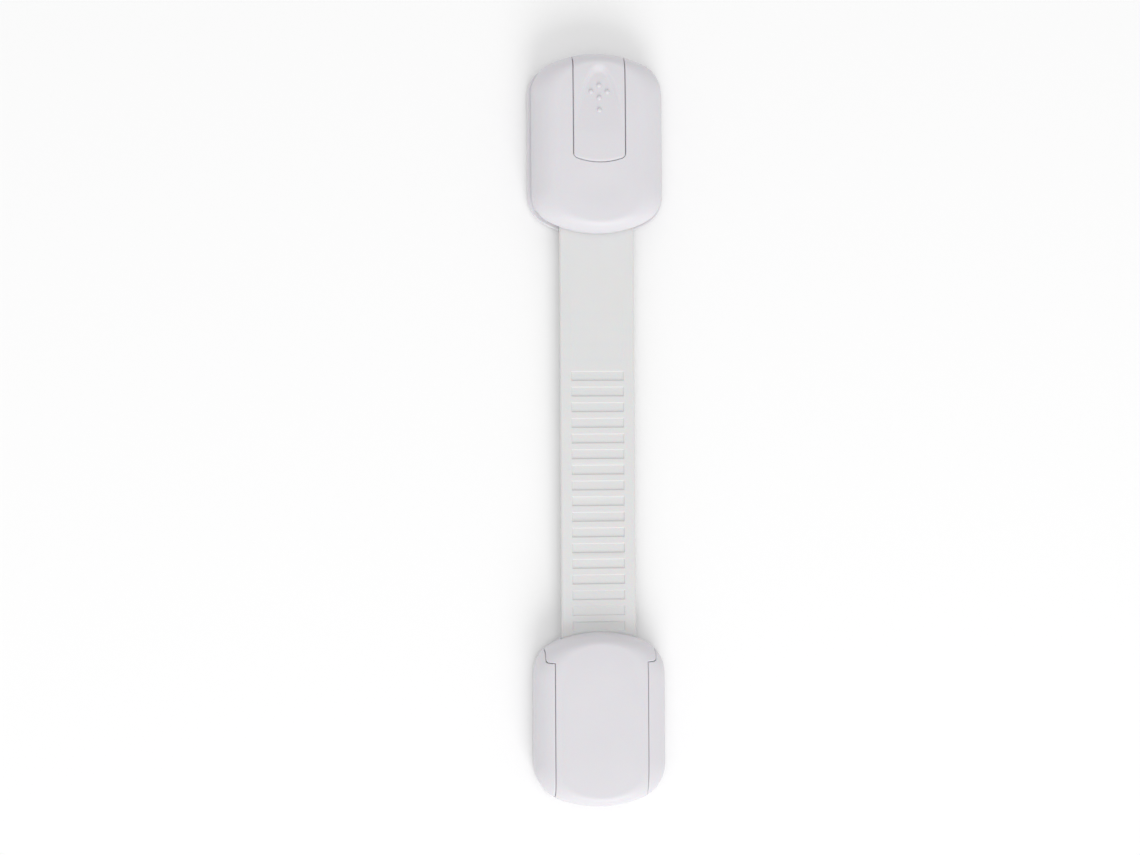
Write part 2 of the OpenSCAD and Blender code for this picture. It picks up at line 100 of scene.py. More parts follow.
@dataclass
class Skin:
    """Grids of points that are welded into one mesh.

    Args:
        middle: the point in plan that OUTWARD and INWARD are judged from.
    """

    middle: tuple[float, float] = (0.0, 0.0)
    points: list[Array] = field(default_factory=list)
    faces: list[Array] = field(default_factory=list)
    lids: list[list[int]] = field(default_factory=list)
    count: int = 0

    def grid(self, p: Array, facing: Facing | Array, closed: bool = False) -> None:
        """Adds the quads of a grid of points.

        Args:
            p: rows x columns x 3 points.
            facing: which way the faces look, or a direction.
            closed: whether the last column joins the first.
        """
        quads, flat = quad_index(*p.shape[:2], closed), p.reshape(-1, 3)
        a, b, c, d = (flat[quads[:, k]] for k in range(4))
        side = ((a + c) / 2 - [*self.middle, 0.0]) * [1, 1, 0]
        up = np.array([0, 0, 1.0])
        ways = {Facing.UP: up, Facing.DOWN: -up, Facing.OUTWARD: side, Facing.INWARD: -side}
        want = ways[facing] if isinstance(facing, Facing) else facing
        turned = np.sum(np.cross(c - a, d - b) * want) < 0
        self.add(flat, quads[:, ::-1] if turned else quads)

    def add(self, points: Array, quads: Array) -> None:
        """Adds points and the quads between them, numbered from the first of these points.

        Args:
            points: n x 3 points.
            quads: m x 4 numbers of points.
        """
        self.points.append(points)
        self.faces.append(quads + self.count)
        self.count += len(points)

    def lid(self, ring: Array, facing: Facing) -> None:
        """Closes a flat ring of points with one face that looks up or down.

        Args:
            ring: n x 3 points in order.
            facing: UP or DOWN.
        """
        x, y = ring[:, 0], ring[:, 1]
        area = np.sum(x * np.roll(y, -1) - y * np.roll(x, -1))
        order = np.arange(len(ring)) + self.count
        if (area > 0) != (facing is Facing.UP):
            order = order[::-1]
        self.points.append(ring)
        self.lids.append(order.tolist())
        self.count += len(ring)

    def piece(self, name: str, sharp: float = 32.0) -> bpy.types.Object:
        """Welds the grids and makes the object.

        Args:
            name: the piece's name.
            sharp: the angle in degrees above which an edge isn't smoothed over.

        Returns:
            The new mesh object, at the origin.
        """
        mesh = bpy.data.meshes.new(name)
        faces = [f for quads in self.faces for f in quads.tolist()] + self.lids
        mesh.from_pydata((np.vstack(self.points) * MM).tolist(), [], faces)
        work = bmesh.new()
        work.from_mesh(mesh)
        bmesh.ops.remove_doubles(work, verts=work.verts, dist=0.004 * MM)
        bmesh.ops.dissolve_degenerate(work, dist=0.002 * MM, edges=work.edges)
        work.to_mesh(mesh)
        work.free()
        mesh.polygons.foreach_set("use_smooth", np.ones(len(mesh.polygons), bool))
        mesh.set_sharp_from_angle(angle=np.radians(sharp))
        obj = bpy.data.objects.new(name, mesh)
        bpy.context.scene.collection.objects.link(obj)
        return obj


def raised(plan: Array, z: float | Array) -> Array:
    """Plan points with a height: (x, y) becomes (x, y, z)."""
    z = np.broadcast_to(z, plan.shape[:-1])
    return np.concatenate([plan, z[..., None]], -1)


def blend_points(a: Array, b: Array, share: Array) -> Array:
    """Rows of points from a to b: row i is a + (b - a) * share[i].

    Args:
        a: n x 2 points.
        b: as many points.
        share: one number for each row.

    Returns:
        rows x n x 2 points.
    """
    s = np.asarray(share)[:, None, None]
    return a[None] * (1 - s) + b[None] * s


def rounded_prism(skin: Skin, profile: Array, y0: float, y1: float, edge: float = 0.25) -> None:
    """Adds a closed bar of constant section along Y with softened ends.

    At a turn f from 90 degrees to 0, the section (x, z) is scaled about its middle by
    1 - 2 edge / size (1 - cos f) and stands edge (1 - sin f) from the end.

    Args:
        skin: where the faces go.
        profile: n x 2 points (x, z), in order round the section.
        y0: where the bar starts.
        y1: where it ends.
        edge: radius of the softened ends.
    """
    mid, size = profile.mean(0), np.ptp(profile, axis=0).min()
    f = np.linspace(QUARTER, 0, 4)
    inset, scale = edge * (1 - np.sin(f)), 1 - 2 * edge / size * (1 - np.cos(f))
    y = np.r_[y0 + inset, y1 - inset[::-1]]
    xz = mid + (profile - mid) * np.r_[scale, scale[::-1]][:, None, None]
    y = np.broadcast_to(y[:, None], xz.shape[:2])
    add_tube(skin, np.stack([xz[..., 0], y, xz[..., 1]], -1))


def lathe(skin: Skin, centre: Sequence[float], profile: Sequence[tuple[float, float]], n: int = 40) -> None:
    """Adds a closed solid of revolution about a vertical axis.

    A point (r, z) of the profile becomes (cx + r cos t, cy + r sin t, cz + z).

    Args:
        skin: where the faces go.
        centre: a point (cx, cy, cz) of the axis.
        profile: points from the axis at the foot, outwards and up, and back to the axis or to the
            profile's own start.
        n: number of points round.
    """
    rz, t = np.array(profile, float), np.linspace(0, 2 * np.pi, n, endpoint=False)
    r, z = rz[:, :1], np.broadcast_to(rz[:, 1:], (len(rz), n))
    p = np.stack([centre[0] + r * np.cos(t), centre[1] + r * np.sin(t), centre[2] + z], -1)
    skin.add(p.reshape(-1, 3), quad_index(len(rz), n, closed=True))


def border(g: Array) -> Array:
    """Border of a grid of points as one closed ring."""
    return np.concatenate([g[:, -1][::-1], g[0][::-1][1:], g[1:, 0], g[-1][1:-1]])


def corner_rounded(points: Sequence[tuple[float, float]], r: float, steps: int = 4) -> Array:
    """A polygon with its corners cut by quadratic curves: B(t) = (1-t)^2 a + 2t(1-t) p + t^2 b.

    Args:
        points: the corners p, in order.
        r: how far from a corner its curve starts (a) and ends (b).
        steps: points on each curve.

    Returns:
        n x 2 points.
    """
    p = np.array(points, float)
    before, after = np.roll(p, 1, 0) - p, np.roll(p, -1, 0) - p
    la, lb = np.linalg.norm(before, axis=1), np.linalg.norm(after, axis=1)
    cut = np.minimum(r, 0.45 * np.minimum(la, lb))[:, None]
    a, b = p + before / la[:, None] * cut, p + after / lb[:, None] * cut
    t = np.linspace(0, 1, steps)[None, :, None]
    return ((1 - t) ** 2 * a[:, None] + 2 * t * (1 - t) * p[:, None] + t**2 * b[:, None]).reshape(-1, 2)


# ---------------------------------------------------------------- pebble-shaped heads


@dataclass(frozen=True)
class Outline:
    """Plan of a head: straight sides, four corner arcs and two wide end arcs, all tangent.

    Sizes may be numbers or arrays that match the points asked about.
    """

    width: float | Array
    length: float | Array
    end_r: float | Array
    corner_r: float | Array

    def corner(self) -> tuple[Array, Array, Array]:
        """The corner arc's centre and how far along the end arc's centre is.

        Returns:
            The corner arc's x and y, and the end arc's y.
        """
        cx = self.width / 2 - self.corner_r
        ey = self.length / 2 - self.end_r
        return cx, ey + np.sqrt((self.end_r - self.corner_r) ** 2 - cx**2), ey

    def end_y(self, x: Array) -> Array:
        """Half-length at x: sqrt(R^2 - x^2) on the end arc, sqrt(r^2 - (x - cx)^2) on the corner.

        Args:
            x: places across the head.

        Returns:
            The y of the outline there, on the +Y side.
        """
        ax = np.minimum(np.abs(x), self.width / 2)
        cx, cy, ey = self.corner()
        touch = self.end_r * cx / (self.end_r - self.corner_r)
        end = ey + np.sqrt(self.end_r**2 - np.minimum(ax, touch) ** 2)
        turn = cy + np.sqrt(np.maximum(self.corner_r**2 - (np.maximum(ax, cx) - cx) ** 2, 0))
        return np.where(ax <= touch, end, turn)

    def half_x(self, y: Array) -> Array:
        """Half-width at y, from the same arcs.

        Args:
            y: places along the head, from its middle.

        Returns:
            The x of the outline there, on the +X side.
        """
        ay = np.minimum(np.abs(y), self.length / 2)
        cx, cy, ey = self.corner()
        touch = ey + self.end_r * (cy - ey) / (self.end_r - self.corner_r)
        turn = cx + np.sqrt(np.maximum(self.corner_r**2 - (np.maximum(ay, cy) - cy) ** 2, 0))
        end = np.sqrt(np.maximum(self.end_r**2 - (ay - ey) ** 2, 0))
        return np.where(ay <= touch, turn, end)

    def out(self, x: Array, y: Array) -> Array:
        """Unit vector in plan that points out of the outline: away from the centre of the nearest arc.

        Args:
            x: places across the head.
            y: places along it.

        Returns:
            One vector for each place.
        """
        ax, ay = np.abs(x), np.abs(y)
        cx, cy, ey = self.corner()
        slope = np.where(ax * (cy - ey) < (ay - ey) * cx, 1, 0)
        vx = np.where(slope == 1, ax, np.where(ay <= cy, 1, np.maximum(ax - cx, 1e-6)))
        vy = np.where(slope == 1, ay - ey, np.where(ay <= cy, 0, ay - cy))
        v = np.stack([vx * np.sign(x + 1e-12), vy * np.sign(y + 1e-12)], -1)
        return v / np.linalg.norm(v, axis=-1, keepdims=True)


@dataclass(frozen=True)
class Pebble:
    """A head's skin: upright sides, an elliptic roll and a gently crowned top.

    Args:
        outline: plan at the sides.
        centre_y: where the head's middle is along the latch.
        side_z: height at which the roll starts.
        top_z: height of the crown.
        inset: how far the whole skin is moved inwards.
    """

    outline: Outline
    centre_y: float
    side_z: float
    top_z: float
    roll_x: float = 7.6
    roll_y: float = 3.6
    crown: float = 0.5
    inset: float = 0.0

    def ring(self, a: Array) -> Outline:
        """Outline at a roll angle: each size goes from its side value to its top value as 1 - cos a.

        Args:
            a: roll angle or angles, 0 at the sides and 90 degrees at the top.

        Returns:
            The outline, with the inset taken off.
        """
        o, s, t = self.outline, 1 - np.cos(a), self.inset
        top_w = o.width - 2 * self.roll_x
        return Outline(
            o.width + (top_w - o.width) * s - 2 * t,
            o.length - 2 * self.roll_y * s - 2 * t,
            o.end_r + (top_w / 2 + 1.6 - o.end_r) * s - t,
            o.corner_r + (top_w / 2 - 1.2 - o.corner_r) * s - t,
        )

    def side(self) -> Outline:
        """Outline of the upright sides."""
        return self.ring(np.float64(0.0))

    def angle(self, x: Array, y: Array) -> Array:
        """Roll angle of the skin over (x, y), found by halving: the largest ring that holds the point.

        Args:
            x: places across the head.
            y: places along it.

        Returns:
            Angles from 0 at the sides to 90 degrees on the top.
        """
        ax, ay = np.abs(x), np.abs(y)
        low, high = np.zeros(np.shape(ax)), np.full(np.shape(ax), QUARTER)
        for _ in range(30):
            mid = (low + high) / 2
            ring = self.ring(mid)
            holds = (ax <= ring.width / 2) & (ay <= ring.end_y(ax))
            low, high = np.where(holds, mid, low), np.where(holds, high, mid)
        return low

    def height(self, x: Array, y: Array) -> Array:
        """Height over (x, y): side + (edge - side) sin a, plus crown (1 - u^4)(1 - w^4) on the top.

        Args:
            x: places across the head.
            y: places along it.

        Returns:
            Heights.
        """
        edge = self.top_z - self.crown - self.inset
        roll = self.side_z + (edge - self.side_z) * np.sin(self.angle(x, y))
        top = self.ring(np.float64(QUARTER))
        u = np.minimum(np.abs(x) / (top.width / 2), 1)
        w = np.minimum(np.abs(y) / top.end_y(x), 1)
        return roll + self.crown * (1 - u**4) * (1 - w**4)

    def normal(self, x: Array, y: Array) -> Array:
        """Unit normal of the skin over (x, y): m (edge - side) cos a + z roll sin a, m the plan normal.

        Args:
            x: places across the head.
            y: places along it.

        Returns:
            One vector for each place.
        """
        a = self.angle(x, y)
        m = self.ring(a).out(x, y)
        rise = self.top_z - self.crown - self.inset - self.side_z
        roll = self.roll_x * m[..., 0] ** 2 + self.roll_y * m[..., 1] ** 2
        v = np.concatenate([m * (rise * np.cos(a))[..., None], (roll * np.sin(a))[..., None]], -1)
        return v / np.linalg.norm(v, axis=-1, keepdims=True)

    def skin(self, plan: Array, z: Array | None = None) -> Array:
        """Points of the skin over plan points measured from the head's middle, placed in the row frame.

        Args:
            plan: plan points.
            z: heights to use in place of the skin's own, NaN where the skin's own height is wanted.

        Returns:
            One point for each plan point.
        """
        x, y = plan[..., 0], plan[..., 1]
        height = self.height(x, y) if z is None else np.where(np.isnan(z), self.height(x, y), z)
        return np.stack([x, y + self.centre_y, height], -1)

    def lip(
        self, near: Array, edge: Array, z: Array | None = None, r: float = 0.3, sink: Callable | None = None
    ) -> Array:
        """A rounded edge: rows from the skin at near to the wall below edge.

        Row f (0 to 90 degrees) is the skin over near + (edge - near) sin f, less normal r (1 - cos f).

        Args:
            near: plan points where the rounding starts.
            edge: plan points of the wall.
            z: heights for points on the upright side, NaN elsewhere.
            r: radius.
            sink: extra depth of the skin at plan points, such as a scoop.

        Returns:
            rows x n x 3 points.
        """
        f = np.linspace(0, QUARTER, 5)
        plan = blend_points(near, edge, np.sin(f))
        x, y = plan[..., 0], plan[..., 1]
        zz = None if z is None else np.broadcast_to(z, x.shape)
        p, n = self.skin(plan, zz), self.normal(x, y)
        if sink is not None:
            p[..., 2] -= sink(x, y)
        if z is not None:
            n = np.where(np.isnan(zz)[..., None], n, raised(self.side().out(x, y), 0.0))
        return p - n * (r * (1 - np.cos(f)))[:, None, None]


# ---------------------------------------------------------------- finishes


def srgb(code: str) -> tuple[float, float, float, float]:
    """A hex sRGB colour as linear RGBA.

    Args:
        code: the colour as "#rrggbb".

    Returns:
        Red, green, blue and an alpha of 1.
    """
    c = np.array([int(code[i : i + 2], 16) for i in (1, 3, 5)]) / 255
    lin = np.where(c <= 0.04045, c / 12.92, ((c + 0.055) / 1.055) ** 2.4)
    return (*lin.tolist(), 1.0)


def add_node(
    tree: bpy.types.NodeTree, kind: str, links: dict | None = None, **values: object
) -> bpy.types.Node:
    """Adds a shader node with its settings, socket values and incoming links.

    Args:
        tree: the node tree.
        kind: Blender's node type.
        links: input name or number to output socket.
        values: settings of the node, or values of its inputs (spaces written as underscores).

    Returns:
        The node.
    """
    node = tree.nodes.new(kind)
    for key, value in values.items():
        if hasattr(node, key):
            setattr(node, key, value)
        else:
            node.inputs[key.replace("_", " ")].default_value = value
    for key, socket in (links or {}).items():
        tree.links.new(socket, node.inputs[key])
    return node


@dataclass(frozen=True)
class Finish:
    """Shared parts of a finish: colour, roughness and a fine surface relief.

    Lengths end in _mm.

    Args:
        name: material name.
        slot: the record's material slot; not used.
        colour: sRGB hex.
        shade: sRGB hex that the colour drifts to in soft clouds.
        roughness: shader roughness.
        grain_mm: size of the relief's grain.
        relief_mm: height of the relief.
        cloud_mm: size of the clouds.
        drift: how far the clouds move the roughness each way.
    """

    name: str
    slot: str
    colour: str
    shade: str
    roughness: float
    grain_mm: float
    relief_mm: float
    cloud_mm: float = 14.0
    drift: float = 0.03

    def shader(self) -> dict[str, float]:
        """Values set straight on the shader's sockets."""
        return {}

    def relief(self, tree: bpy.types.NodeTree, place: bpy.types.NodeSocket) -> bpy.types.NodeSocket:
        """Height of the fine relief: noise at the grain's size."""
        return self.noise(tree, place, self.grain_mm, 2.0).outputs["Fac"]

    def noise(
        self, tree: bpy.types.NodeTree, place: bpy.types.NodeSocket, size_mm: float, detail: float
    ) -> bpy.types.Node:
        """Adds a noise texture.

        Args:
            tree: the node tree.
            place: socket that gives the point.
            size_mm: size of its largest spots.
            detail: how many finer layers it has.

        Returns:
            The node.
        """
        scale = 1 / (size_mm * MM)
        return add_node(tree, "ShaderNodeTexNoise", {"Vector": place}, Scale=scale, Detail=detail)

    def material(self) -> bpy.types.Material:
        """Builds the material: cloudy colour and roughness, relief as bump, and the kind's own values.

        Returns:
            The new material.
        """
        mat = bpy.data.materials.new(self.name)
        mat.use_nodes = True
        tree = mat.node_tree
        tree.nodes.clear()
        place = add_node(tree, "ShaderNodeTexCoord").outputs["Object"]
        cloud = self.noise(tree, place, self.cloud_mm, 3.0).outputs["Fac"]
        colour = add_node(tree, "ShaderNodeMix", {"Factor": cloud}, data_type="RGBA")
        colour.inputs[6].default_value, colour.inputs[7].default_value = srgb(self.colour), srgb(self.shade)
        rough = add_node(tree, "ShaderNodeMapRange", {"Value": cloud})
        rough.inputs["To Min"].default_value = self.roughness - self.drift
        rough.inputs["To Max"].default_value = self.roughness + self.drift
        height = {"Height": self.relief(tree, place)}
        bump = add_node(tree, "ShaderNodeBump", height, Strength=1.0, Distance=self.relief_mm * MM)
        shader = add_node(tree, "ShaderNodeBsdfPrincipled", {
            "Base Color": colour.outputs[2],
            "Roughness": rough.outputs["Result"],
            "Normal": bump.outputs["Normal"],
        })
        for key, value in self.shader().items():
            shader.inputs[key].default_value = value
        add_node(tree, "ShaderNodeOutputMaterial", {"Surface": shader.outputs["BSDF"]})
        return mat


@dataclass(frozen=True)
class MouldedAbs(Finish):
    """Injection-moulded ABS from a spark-eroded tool: a dense, slightly warm-cool white with a
    satin sheen, a very fine even grain and a little light scattered inside."""

    def shader(self) -> dict[str, float]:
        """Light scatters about half a millimetre deep; IOR of ABS."""
        return {"IOR": 1.53, "Subsurface Weight": 0.12, "Subsurface Scale": 0.5 * MM}


@dataclass(frozen=True)
class SoftTpu(Finish):
    """Moulded thermoplastic polyurethane: softer and duller than the shells, milky at thin edges."""

    def shader(self) -> dict[str, float]:
        """More scattering than ABS, and the IOR of TPU."""
        return {"IOR": 1.5, "Subsurface Weight": 0.2, "Subsurface Scale": 0.9 * MM}


@dataclass(frozen=True)
class CellFoam(Finish):
    """Closed-cell polyethylene foam: matt, with fine round cells cut open along the edges."""

    def shader(self) -> dict[str, float]:
        """Foam shows almost no gloss."""
        return {"IOR": 1.45, "Specular IOR Level": 0.25}

    def relief(self, tree: bpy.types.NodeTree, place: bpy.types.NodeSocket) -> bpy.types.NodeSocket:
        """Cells: distance to the nearest cell centre."""
        scale = 1 / (self.grain_mm * MM)
        return add_node(tree, "ShaderNodeTexVoronoi", {"Vector": place}, Scale=scale).outputs["Distance"]


@dataclass(frozen=True)
class DrawnSteel(Finish):
    """Steel strip, wire or turned pins: grey metal with fine lines along the way it was drawn."""

    def shader(self) -> dict[str, float]:
        """Bare metal."""
        return {"Metallic": 1.0}

    def relief(self, tree: bpy.types.NodeTree, place: bpy.types.NodeSocket) -> bpy.types.NodeSocket:
        """Noise stretched along Y, so that it reads as drawing lines.

        Args:
            tree: the node tree.
            place: socket that gives the point.

        Returns:
            The socket of the height.
        """
        turn = add_node(tree, "ShaderNodeMapping", {"Vector": place})
        turn.inputs["Scale"].default_value = (1.0, 0.06, 1.0)
        return self.noise(tree, turn.outputs["Vector"], self.grain_mm, 2.0).outputs["Fac"]


# The grain of the real tool is finer than 0.1 mm; it is drawn at 0.35 mm so that it can be seen.
SHELL = MouldedAbs("moulded_abs_shell", "shell_plastic", "#dedce0", "#dad8dd", 0.47, 0.35, 0.006)
BUTTON = MouldedAbs("moulded_abs_button", "button_plastic", "#dddbdf", "#d9d7dc", 0.44, 0.35, 0.005)
STRAP = SoftTpu("soft_tpu_strap", "strap_plastic", "#dfdfdf", "#dbdbdb", 0.5, 0.3, 0.008)
FOAM = CellFoam("pe_foam_pad", "foam_pad", "#d9d9d7", "#cfcfcd", 0.9, 0.4, 0.08)
SPRING = DrawnSteel("spring_steel_strip", "spring_steel", "#b4b6ba", "#a6a9ad", 0.3, 0.08, 0.003)
ZINC = DrawnSteel("zinc_plated_steel", "zinc_steel", "#c3c7cc", "#b2b8c0", 0.34, 0.15, 0.003)


@dataclass
class Dresser:
    """Gives pieces their finish and body, and reports them."""

    made: dict[str, bpy.types.Material] = field(default_factory=dict)

    def material(self, finish: Finish) -> bpy.types.Material:
        """The finish's material, built once.

        Args:
            finish: the finish.

        Returns:
            Its material.
        """
        if finish.name not in self.made:
            self.made[finish.name] = finish.material()
        return self.made[finish.name]

    def dress(
        self, piece: bpy.types.Object, finish: Finish, nodes: Sequence[str] = (), body: str | None = None
    ) -> bpy.types.Object:
        """Dresses one piece.

        Args:
            piece: the mesh object.
            finish: what it is made of.
            nodes: CAD nodes that it stands for.
            body: body that it rides on; None if it bends between two.

        Returns:
            The piece.
        """
        piece.data.materials.append(self.material(finish))
        if body is not None:
            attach(piece, body)
        if nodes:
            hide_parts(*nodes)
        LOG.info("%s: %d faces, %s", piece.name, len(piece.data.polygons), finish.name)
        return piece

    def finish_node(self, node: str, finish: Finish) -> None:
        """Gives a carried-over CAD node its material.

        Args:
            node: the node's name.
            finish: what it is made of.
        """
        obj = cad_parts[node]
        mat = self.material(finish)
        for slot in obj.material_slots:
            slot.link = "OBJECT"
            slot.material = mat
        LOG.info("%s: kept, %s", node, finish.name)


# ---------------------------------------------------------------- release head


@dataclass
class ReleaseHead:
    """The push-button head and the catch plate that it slides on.

    Values of y are measured from middle_y, heights from the wall that the latch is stuck to. gap is
    the CAD's clearance round the button, and seam each side's share of the narrower visible joint.
    lip_r is the radius of the rounded edges beside it, foot_lip and foot_seam what is added at the
    button's low edge, foot_soft how far the foot of a wall is drawn in. lip_inner and lip_top belong
    to the lips that run under the rails. tooth_slot is the plan of the catch plate's slot, and rail
    the section (x, z) of its rails.
    """

    middle_y: float = 85.85
    width: float = 38.8
    length: float = 53.7
    end_r: float = 32.5
    corner_r: float = 9.0
    top_z: float = 14.6
    side_z: float = 7.4
    floor_z: float = 3.2
    wall: float = 1.6
    plate_rim: float = 1.05
    plate_tail: float = 0.7
    button_half: float = 7.65
    gap: float = 0.3
    seam: float = 0.07
    button_low: float = -6.2
    button_wall_z: float = 7.6
    low_wall_z: float = 5.3
    lip_r: float = 0.32
    notch_half: float = 18.3
    foot_soft: float = 0.25
    foot_lip: float = 0.9
    foot_seam: float = 0.07
    notch_z: float = 6.5
    straight: float = 5.0
    slot_corner: float = 1.2
    button_corner: float = 0.9
    button_wall: float = 1.8
    roof_z: float = 11.9
    lip_inner: float = 14.9
    lip_top: float = 4.4
    posts: tuple = ((7.0, -19.0), (11.5, 18.5))
    post_radii: tuple[float, float] = (1.05, 2.6)
    post_z: tuple[float, float] = (5.7, 12.8)
    dots: tuple = ((0, 0), (-2.4, -1.9), (2.4, -1.9), (0, -3.7), (0, -7.4))
    dot_size: tuple[float, float] = (0.72, 0.5)
    pin: tuple[float, float] = (-2.45, 9.4)
    plate_z: tuple[float, float] = (1.0, 3.0)
    plate_edge: float = 0.45
    tooth_slot: tuple = ((2.9, -7.45), (2.9, 14.15), (-2.9, 14.15), (-2.9, -7.45))
    rail: tuple = ((13.2, 2.9), (14.6, 2.9), (14.6, 4.6), (16.6, 4.6), (16.6, 5.8), (13.2, 5.8))
    rail_y: tuple[float, float] = (-13.9, 13.1)
    coil_y: float = 18.0
    coil_z: tuple[float, float] = (4.7, 9.72)

    def pebble(self, inset: float = 0.0) -> Pebble:
        """The head's skin.

        Args:
            inset: how far it is moved inwards.

        Returns:
            The skin.
        """
        outline = Outline(self.width, self.length, self.end_r, self.corner_r)
        return Pebble(outline, self.middle_y, self.side_z, self.top_z, inset=inset)

    def low_edge(self, x: Array, half: float, low: float, corner: float) -> Array:
        """The button's round lower edge: an arc of 1.5 mm sag, turned up at its corners by a circle.

        Args:
            x: places across the button.
            half: half-width of the edge.
            low: y of its lowest point.
            corner: radius of its corners.

        Returns:
            The y of the edge at each place.
        """
        r = (self.button_half**2 + 1.5**2) / 3.0
        over = np.maximum(np.abs(x) - (half - corner), 0)
        return low + r - np.sqrt(r**2 - x**2) + corner - np.sqrt(np.maximum(corner**2 - over**2, 0))

    def button_path(self, half: float, low: float, corner: float, pebble: Pebble) -> tuple[Array, Array]:
        """Plan path round the button: up the end wall, down one side, round the low edge and back.

        Args:
            half: half-width of the path.
            low: y of the low edge's lowest point.
            corner: radius of the low corners.
            pebble: the skin whose end the path meets.

        Returns:
            n x 2 plan points, and n heights that are NaN except on the end wall.
        """
        end = pebble.side().end_y(np.array([half]))[0]
        bottom = self.low_edge(np.array([half]), half, low, corner)[0]
        roll = self.straight + (end - self.straight) * np.sin(np.linspace(1, 0, 60) * QUARTER)
        side = np.r_[roll, np.linspace(self.straight, bottom, 26)[1:]]
        turn = np.linspace(0, np.pi, 75)[1:-1]
        x = half * np.cos(turn)
        low_line = np.stack([x, self.low_edge(x, half, low, corner)], -1)
        right = np.stack([np.full_like(side, half), side], -1)
        wall = np.repeat([[half, end]], 6, 0)
        upright = self.wall_levels(self.floor_z)[:0:-1]
        path = np.vstack([wall, right, low_line, (right * [-1, 1])[::-1], wall * [-1, 1]])
        none = np.full(2 * len(right) + len(low_line), np.nan)
        return path, np.r_[upright, none, upright[::-1]]

    def wall_levels(self, foot: Array | float) -> Array:
        """Heights down a wall: six from the side height to just above the foot, then the foot.

        Args:
            foot: height of the foot, one or one for each point round.

        Returns:
            Seven rows of heights.
        """
        foot = np.asarray(foot, float)
        share = np.linspace(0, 1, 6).reshape(-1, *([1] * foot.ndim))
        down = self.side_z + (foot + self.foot_soft - self.side_z) * share
        return np.concatenate([down, foot[None]])

    def housing(self) -> bpy.types.Object:
        """The domed shell: an outer and an inner skin joined at the foot and down the button's slot.

        Returns:
            The piece.
        """
        out, inn = self.pebble(), self.pebble(self.wall)
        shut = self.gap - self.seam
        r, half, low = self.lip_r, self.button_half + shut, self.button_low - self.seam - self.foot_seam
        near, z = self.button_path(half + r, low - 0.05, self.slot_corner + r, out)
        edge, _ = self.button_path(half, low, self.slot_corner, out)
        deep, _ = self.button_path(half, low, self.slot_corner, inn)
        for path in (near, edge):
            path[[0, -1]] -= out.side().out(path[[0, -1], 0], path[[0, -1], 1]) * self.foot_soft
        skin = Skin((0, self.middle_y))
        on_top = np.isnan(z)
        feet = []
        for pebble, path, up, side, steps, soft in (
            (out, near[on_top], Facing.UP, Facing.OUTWARD, 46, self.foot_soft),
            (inn, deep[on_top], Facing.DOWN, Facing.INWARD, 24, 0.0),
        ):
            rim = self.rim(path, pebble)
            open_end = (np.abs(rim[:, 0]) < self.notch_half) & (rim[:, 1] < -self.straight)
            top = pebble.skin(blend_points(path, rim, np.sin(np.linspace(0, 1, steps) * QUARTER)))
            top[..., 2] -= self.dish(top[..., 0], top[..., 1] - self.middle_y) if pebble is out else 0
            top[-1, :, 2] = self.side_z
            skin.grid(top, up)
            levels = self.wall_levels(np.where(open_end, self.notch_z, self.floor_z))
            wall = raised(np.broadcast_to(rim, (7, *rim.shape)), levels) + [0, self.middle_y, 0]
            wall[-1, :, :2] -= pebble.side().out(rim[:, 0], rim[:, 1]) * soft
            skin.grid(wall, side)
            feet.append(wall[-1])
        skin.grid(np.stack(feet), Facing.DOWN)
        lip = out.lip(near, edge, z, r, self.dish)
        skin.grid(lip, Facing.UP)
        inside = inn.skin(deep, z)
        skin.grid(np.stack([lip[-1], inside]), Facing.INWARD)
        for k in (0, -1):
            skin.lid(np.vstack([lip[:, k], inside[k]]), Facing.DOWN)
        self.add_housing_ribs(skin, half)
        return skin.piece("latch_housing_shell")

    def add_housing_ribs(self, skin: Skin, half: float) -> None:
        """Adds the bar under the button's end, the lips that run under the rails, and the posts.

        Args:
            skin: where the faces go.
            half: half-width of the button's slot.
        """
        inn, out = self.pebble(self.wall).side(), self.pebble().side()
        x = np.linspace(-half - 0.5, half + 0.5, 25)
        near, far = out.end_y(x) - 0.02 + self.middle_y, inn.end_y(x) + self.middle_y
        low, high = np.full_like(x, self.floor_z), np.full_like(x, self.low_wall_z)
        ring = [(near, low), (near, high), (far, high), (far, low)]
        add_tube(skin, np.stack([np.stack([x, y, z], -1) for y, z in ring], 1))
        y = np.r_[-20.8, np.linspace(-20.6, 13.2, 40), 13.4]
        ends = np.r_[0.15, np.zeros(40), 0.15]
        inner = self.lip_inner + ends
        outer = np.maximum(np.minimum(inn.half_x(y) + 0.6, 18.4), inner + 0.3)
        foot, head = self.floor_z + ends, self.lip_top - ends
        for side in (-1, 1):
            corners = [(inner, foot), (outer, foot), (outer, head), (inner, head)]
            add_tube(skin, np.stack([np.stack([side * x, y + self.middle_y, z], -1) for x, z in corners], 1))
            for px, py in self.posts:
                (hole, r), (z0, z1) = self.post_radii, self.post_z
                post = [(hole, z0), (r, z0), (r, z1), (hole, z1), (hole, z0)]
                lathe(skin, (side * px, self.middle_y + py, 0), post, 28)

    def dish(self, x: Array, y: Array) -> Array:
        """Depth of the shallow dish below the button: 0.22 (1 - d^2)^2 inside an ellipse."""
        d = (x / 8.5) ** 2 + ((y + 13.0) / 7.2) ** 2
        return 0.22 * np.maximum(1 - d, 0) ** 2

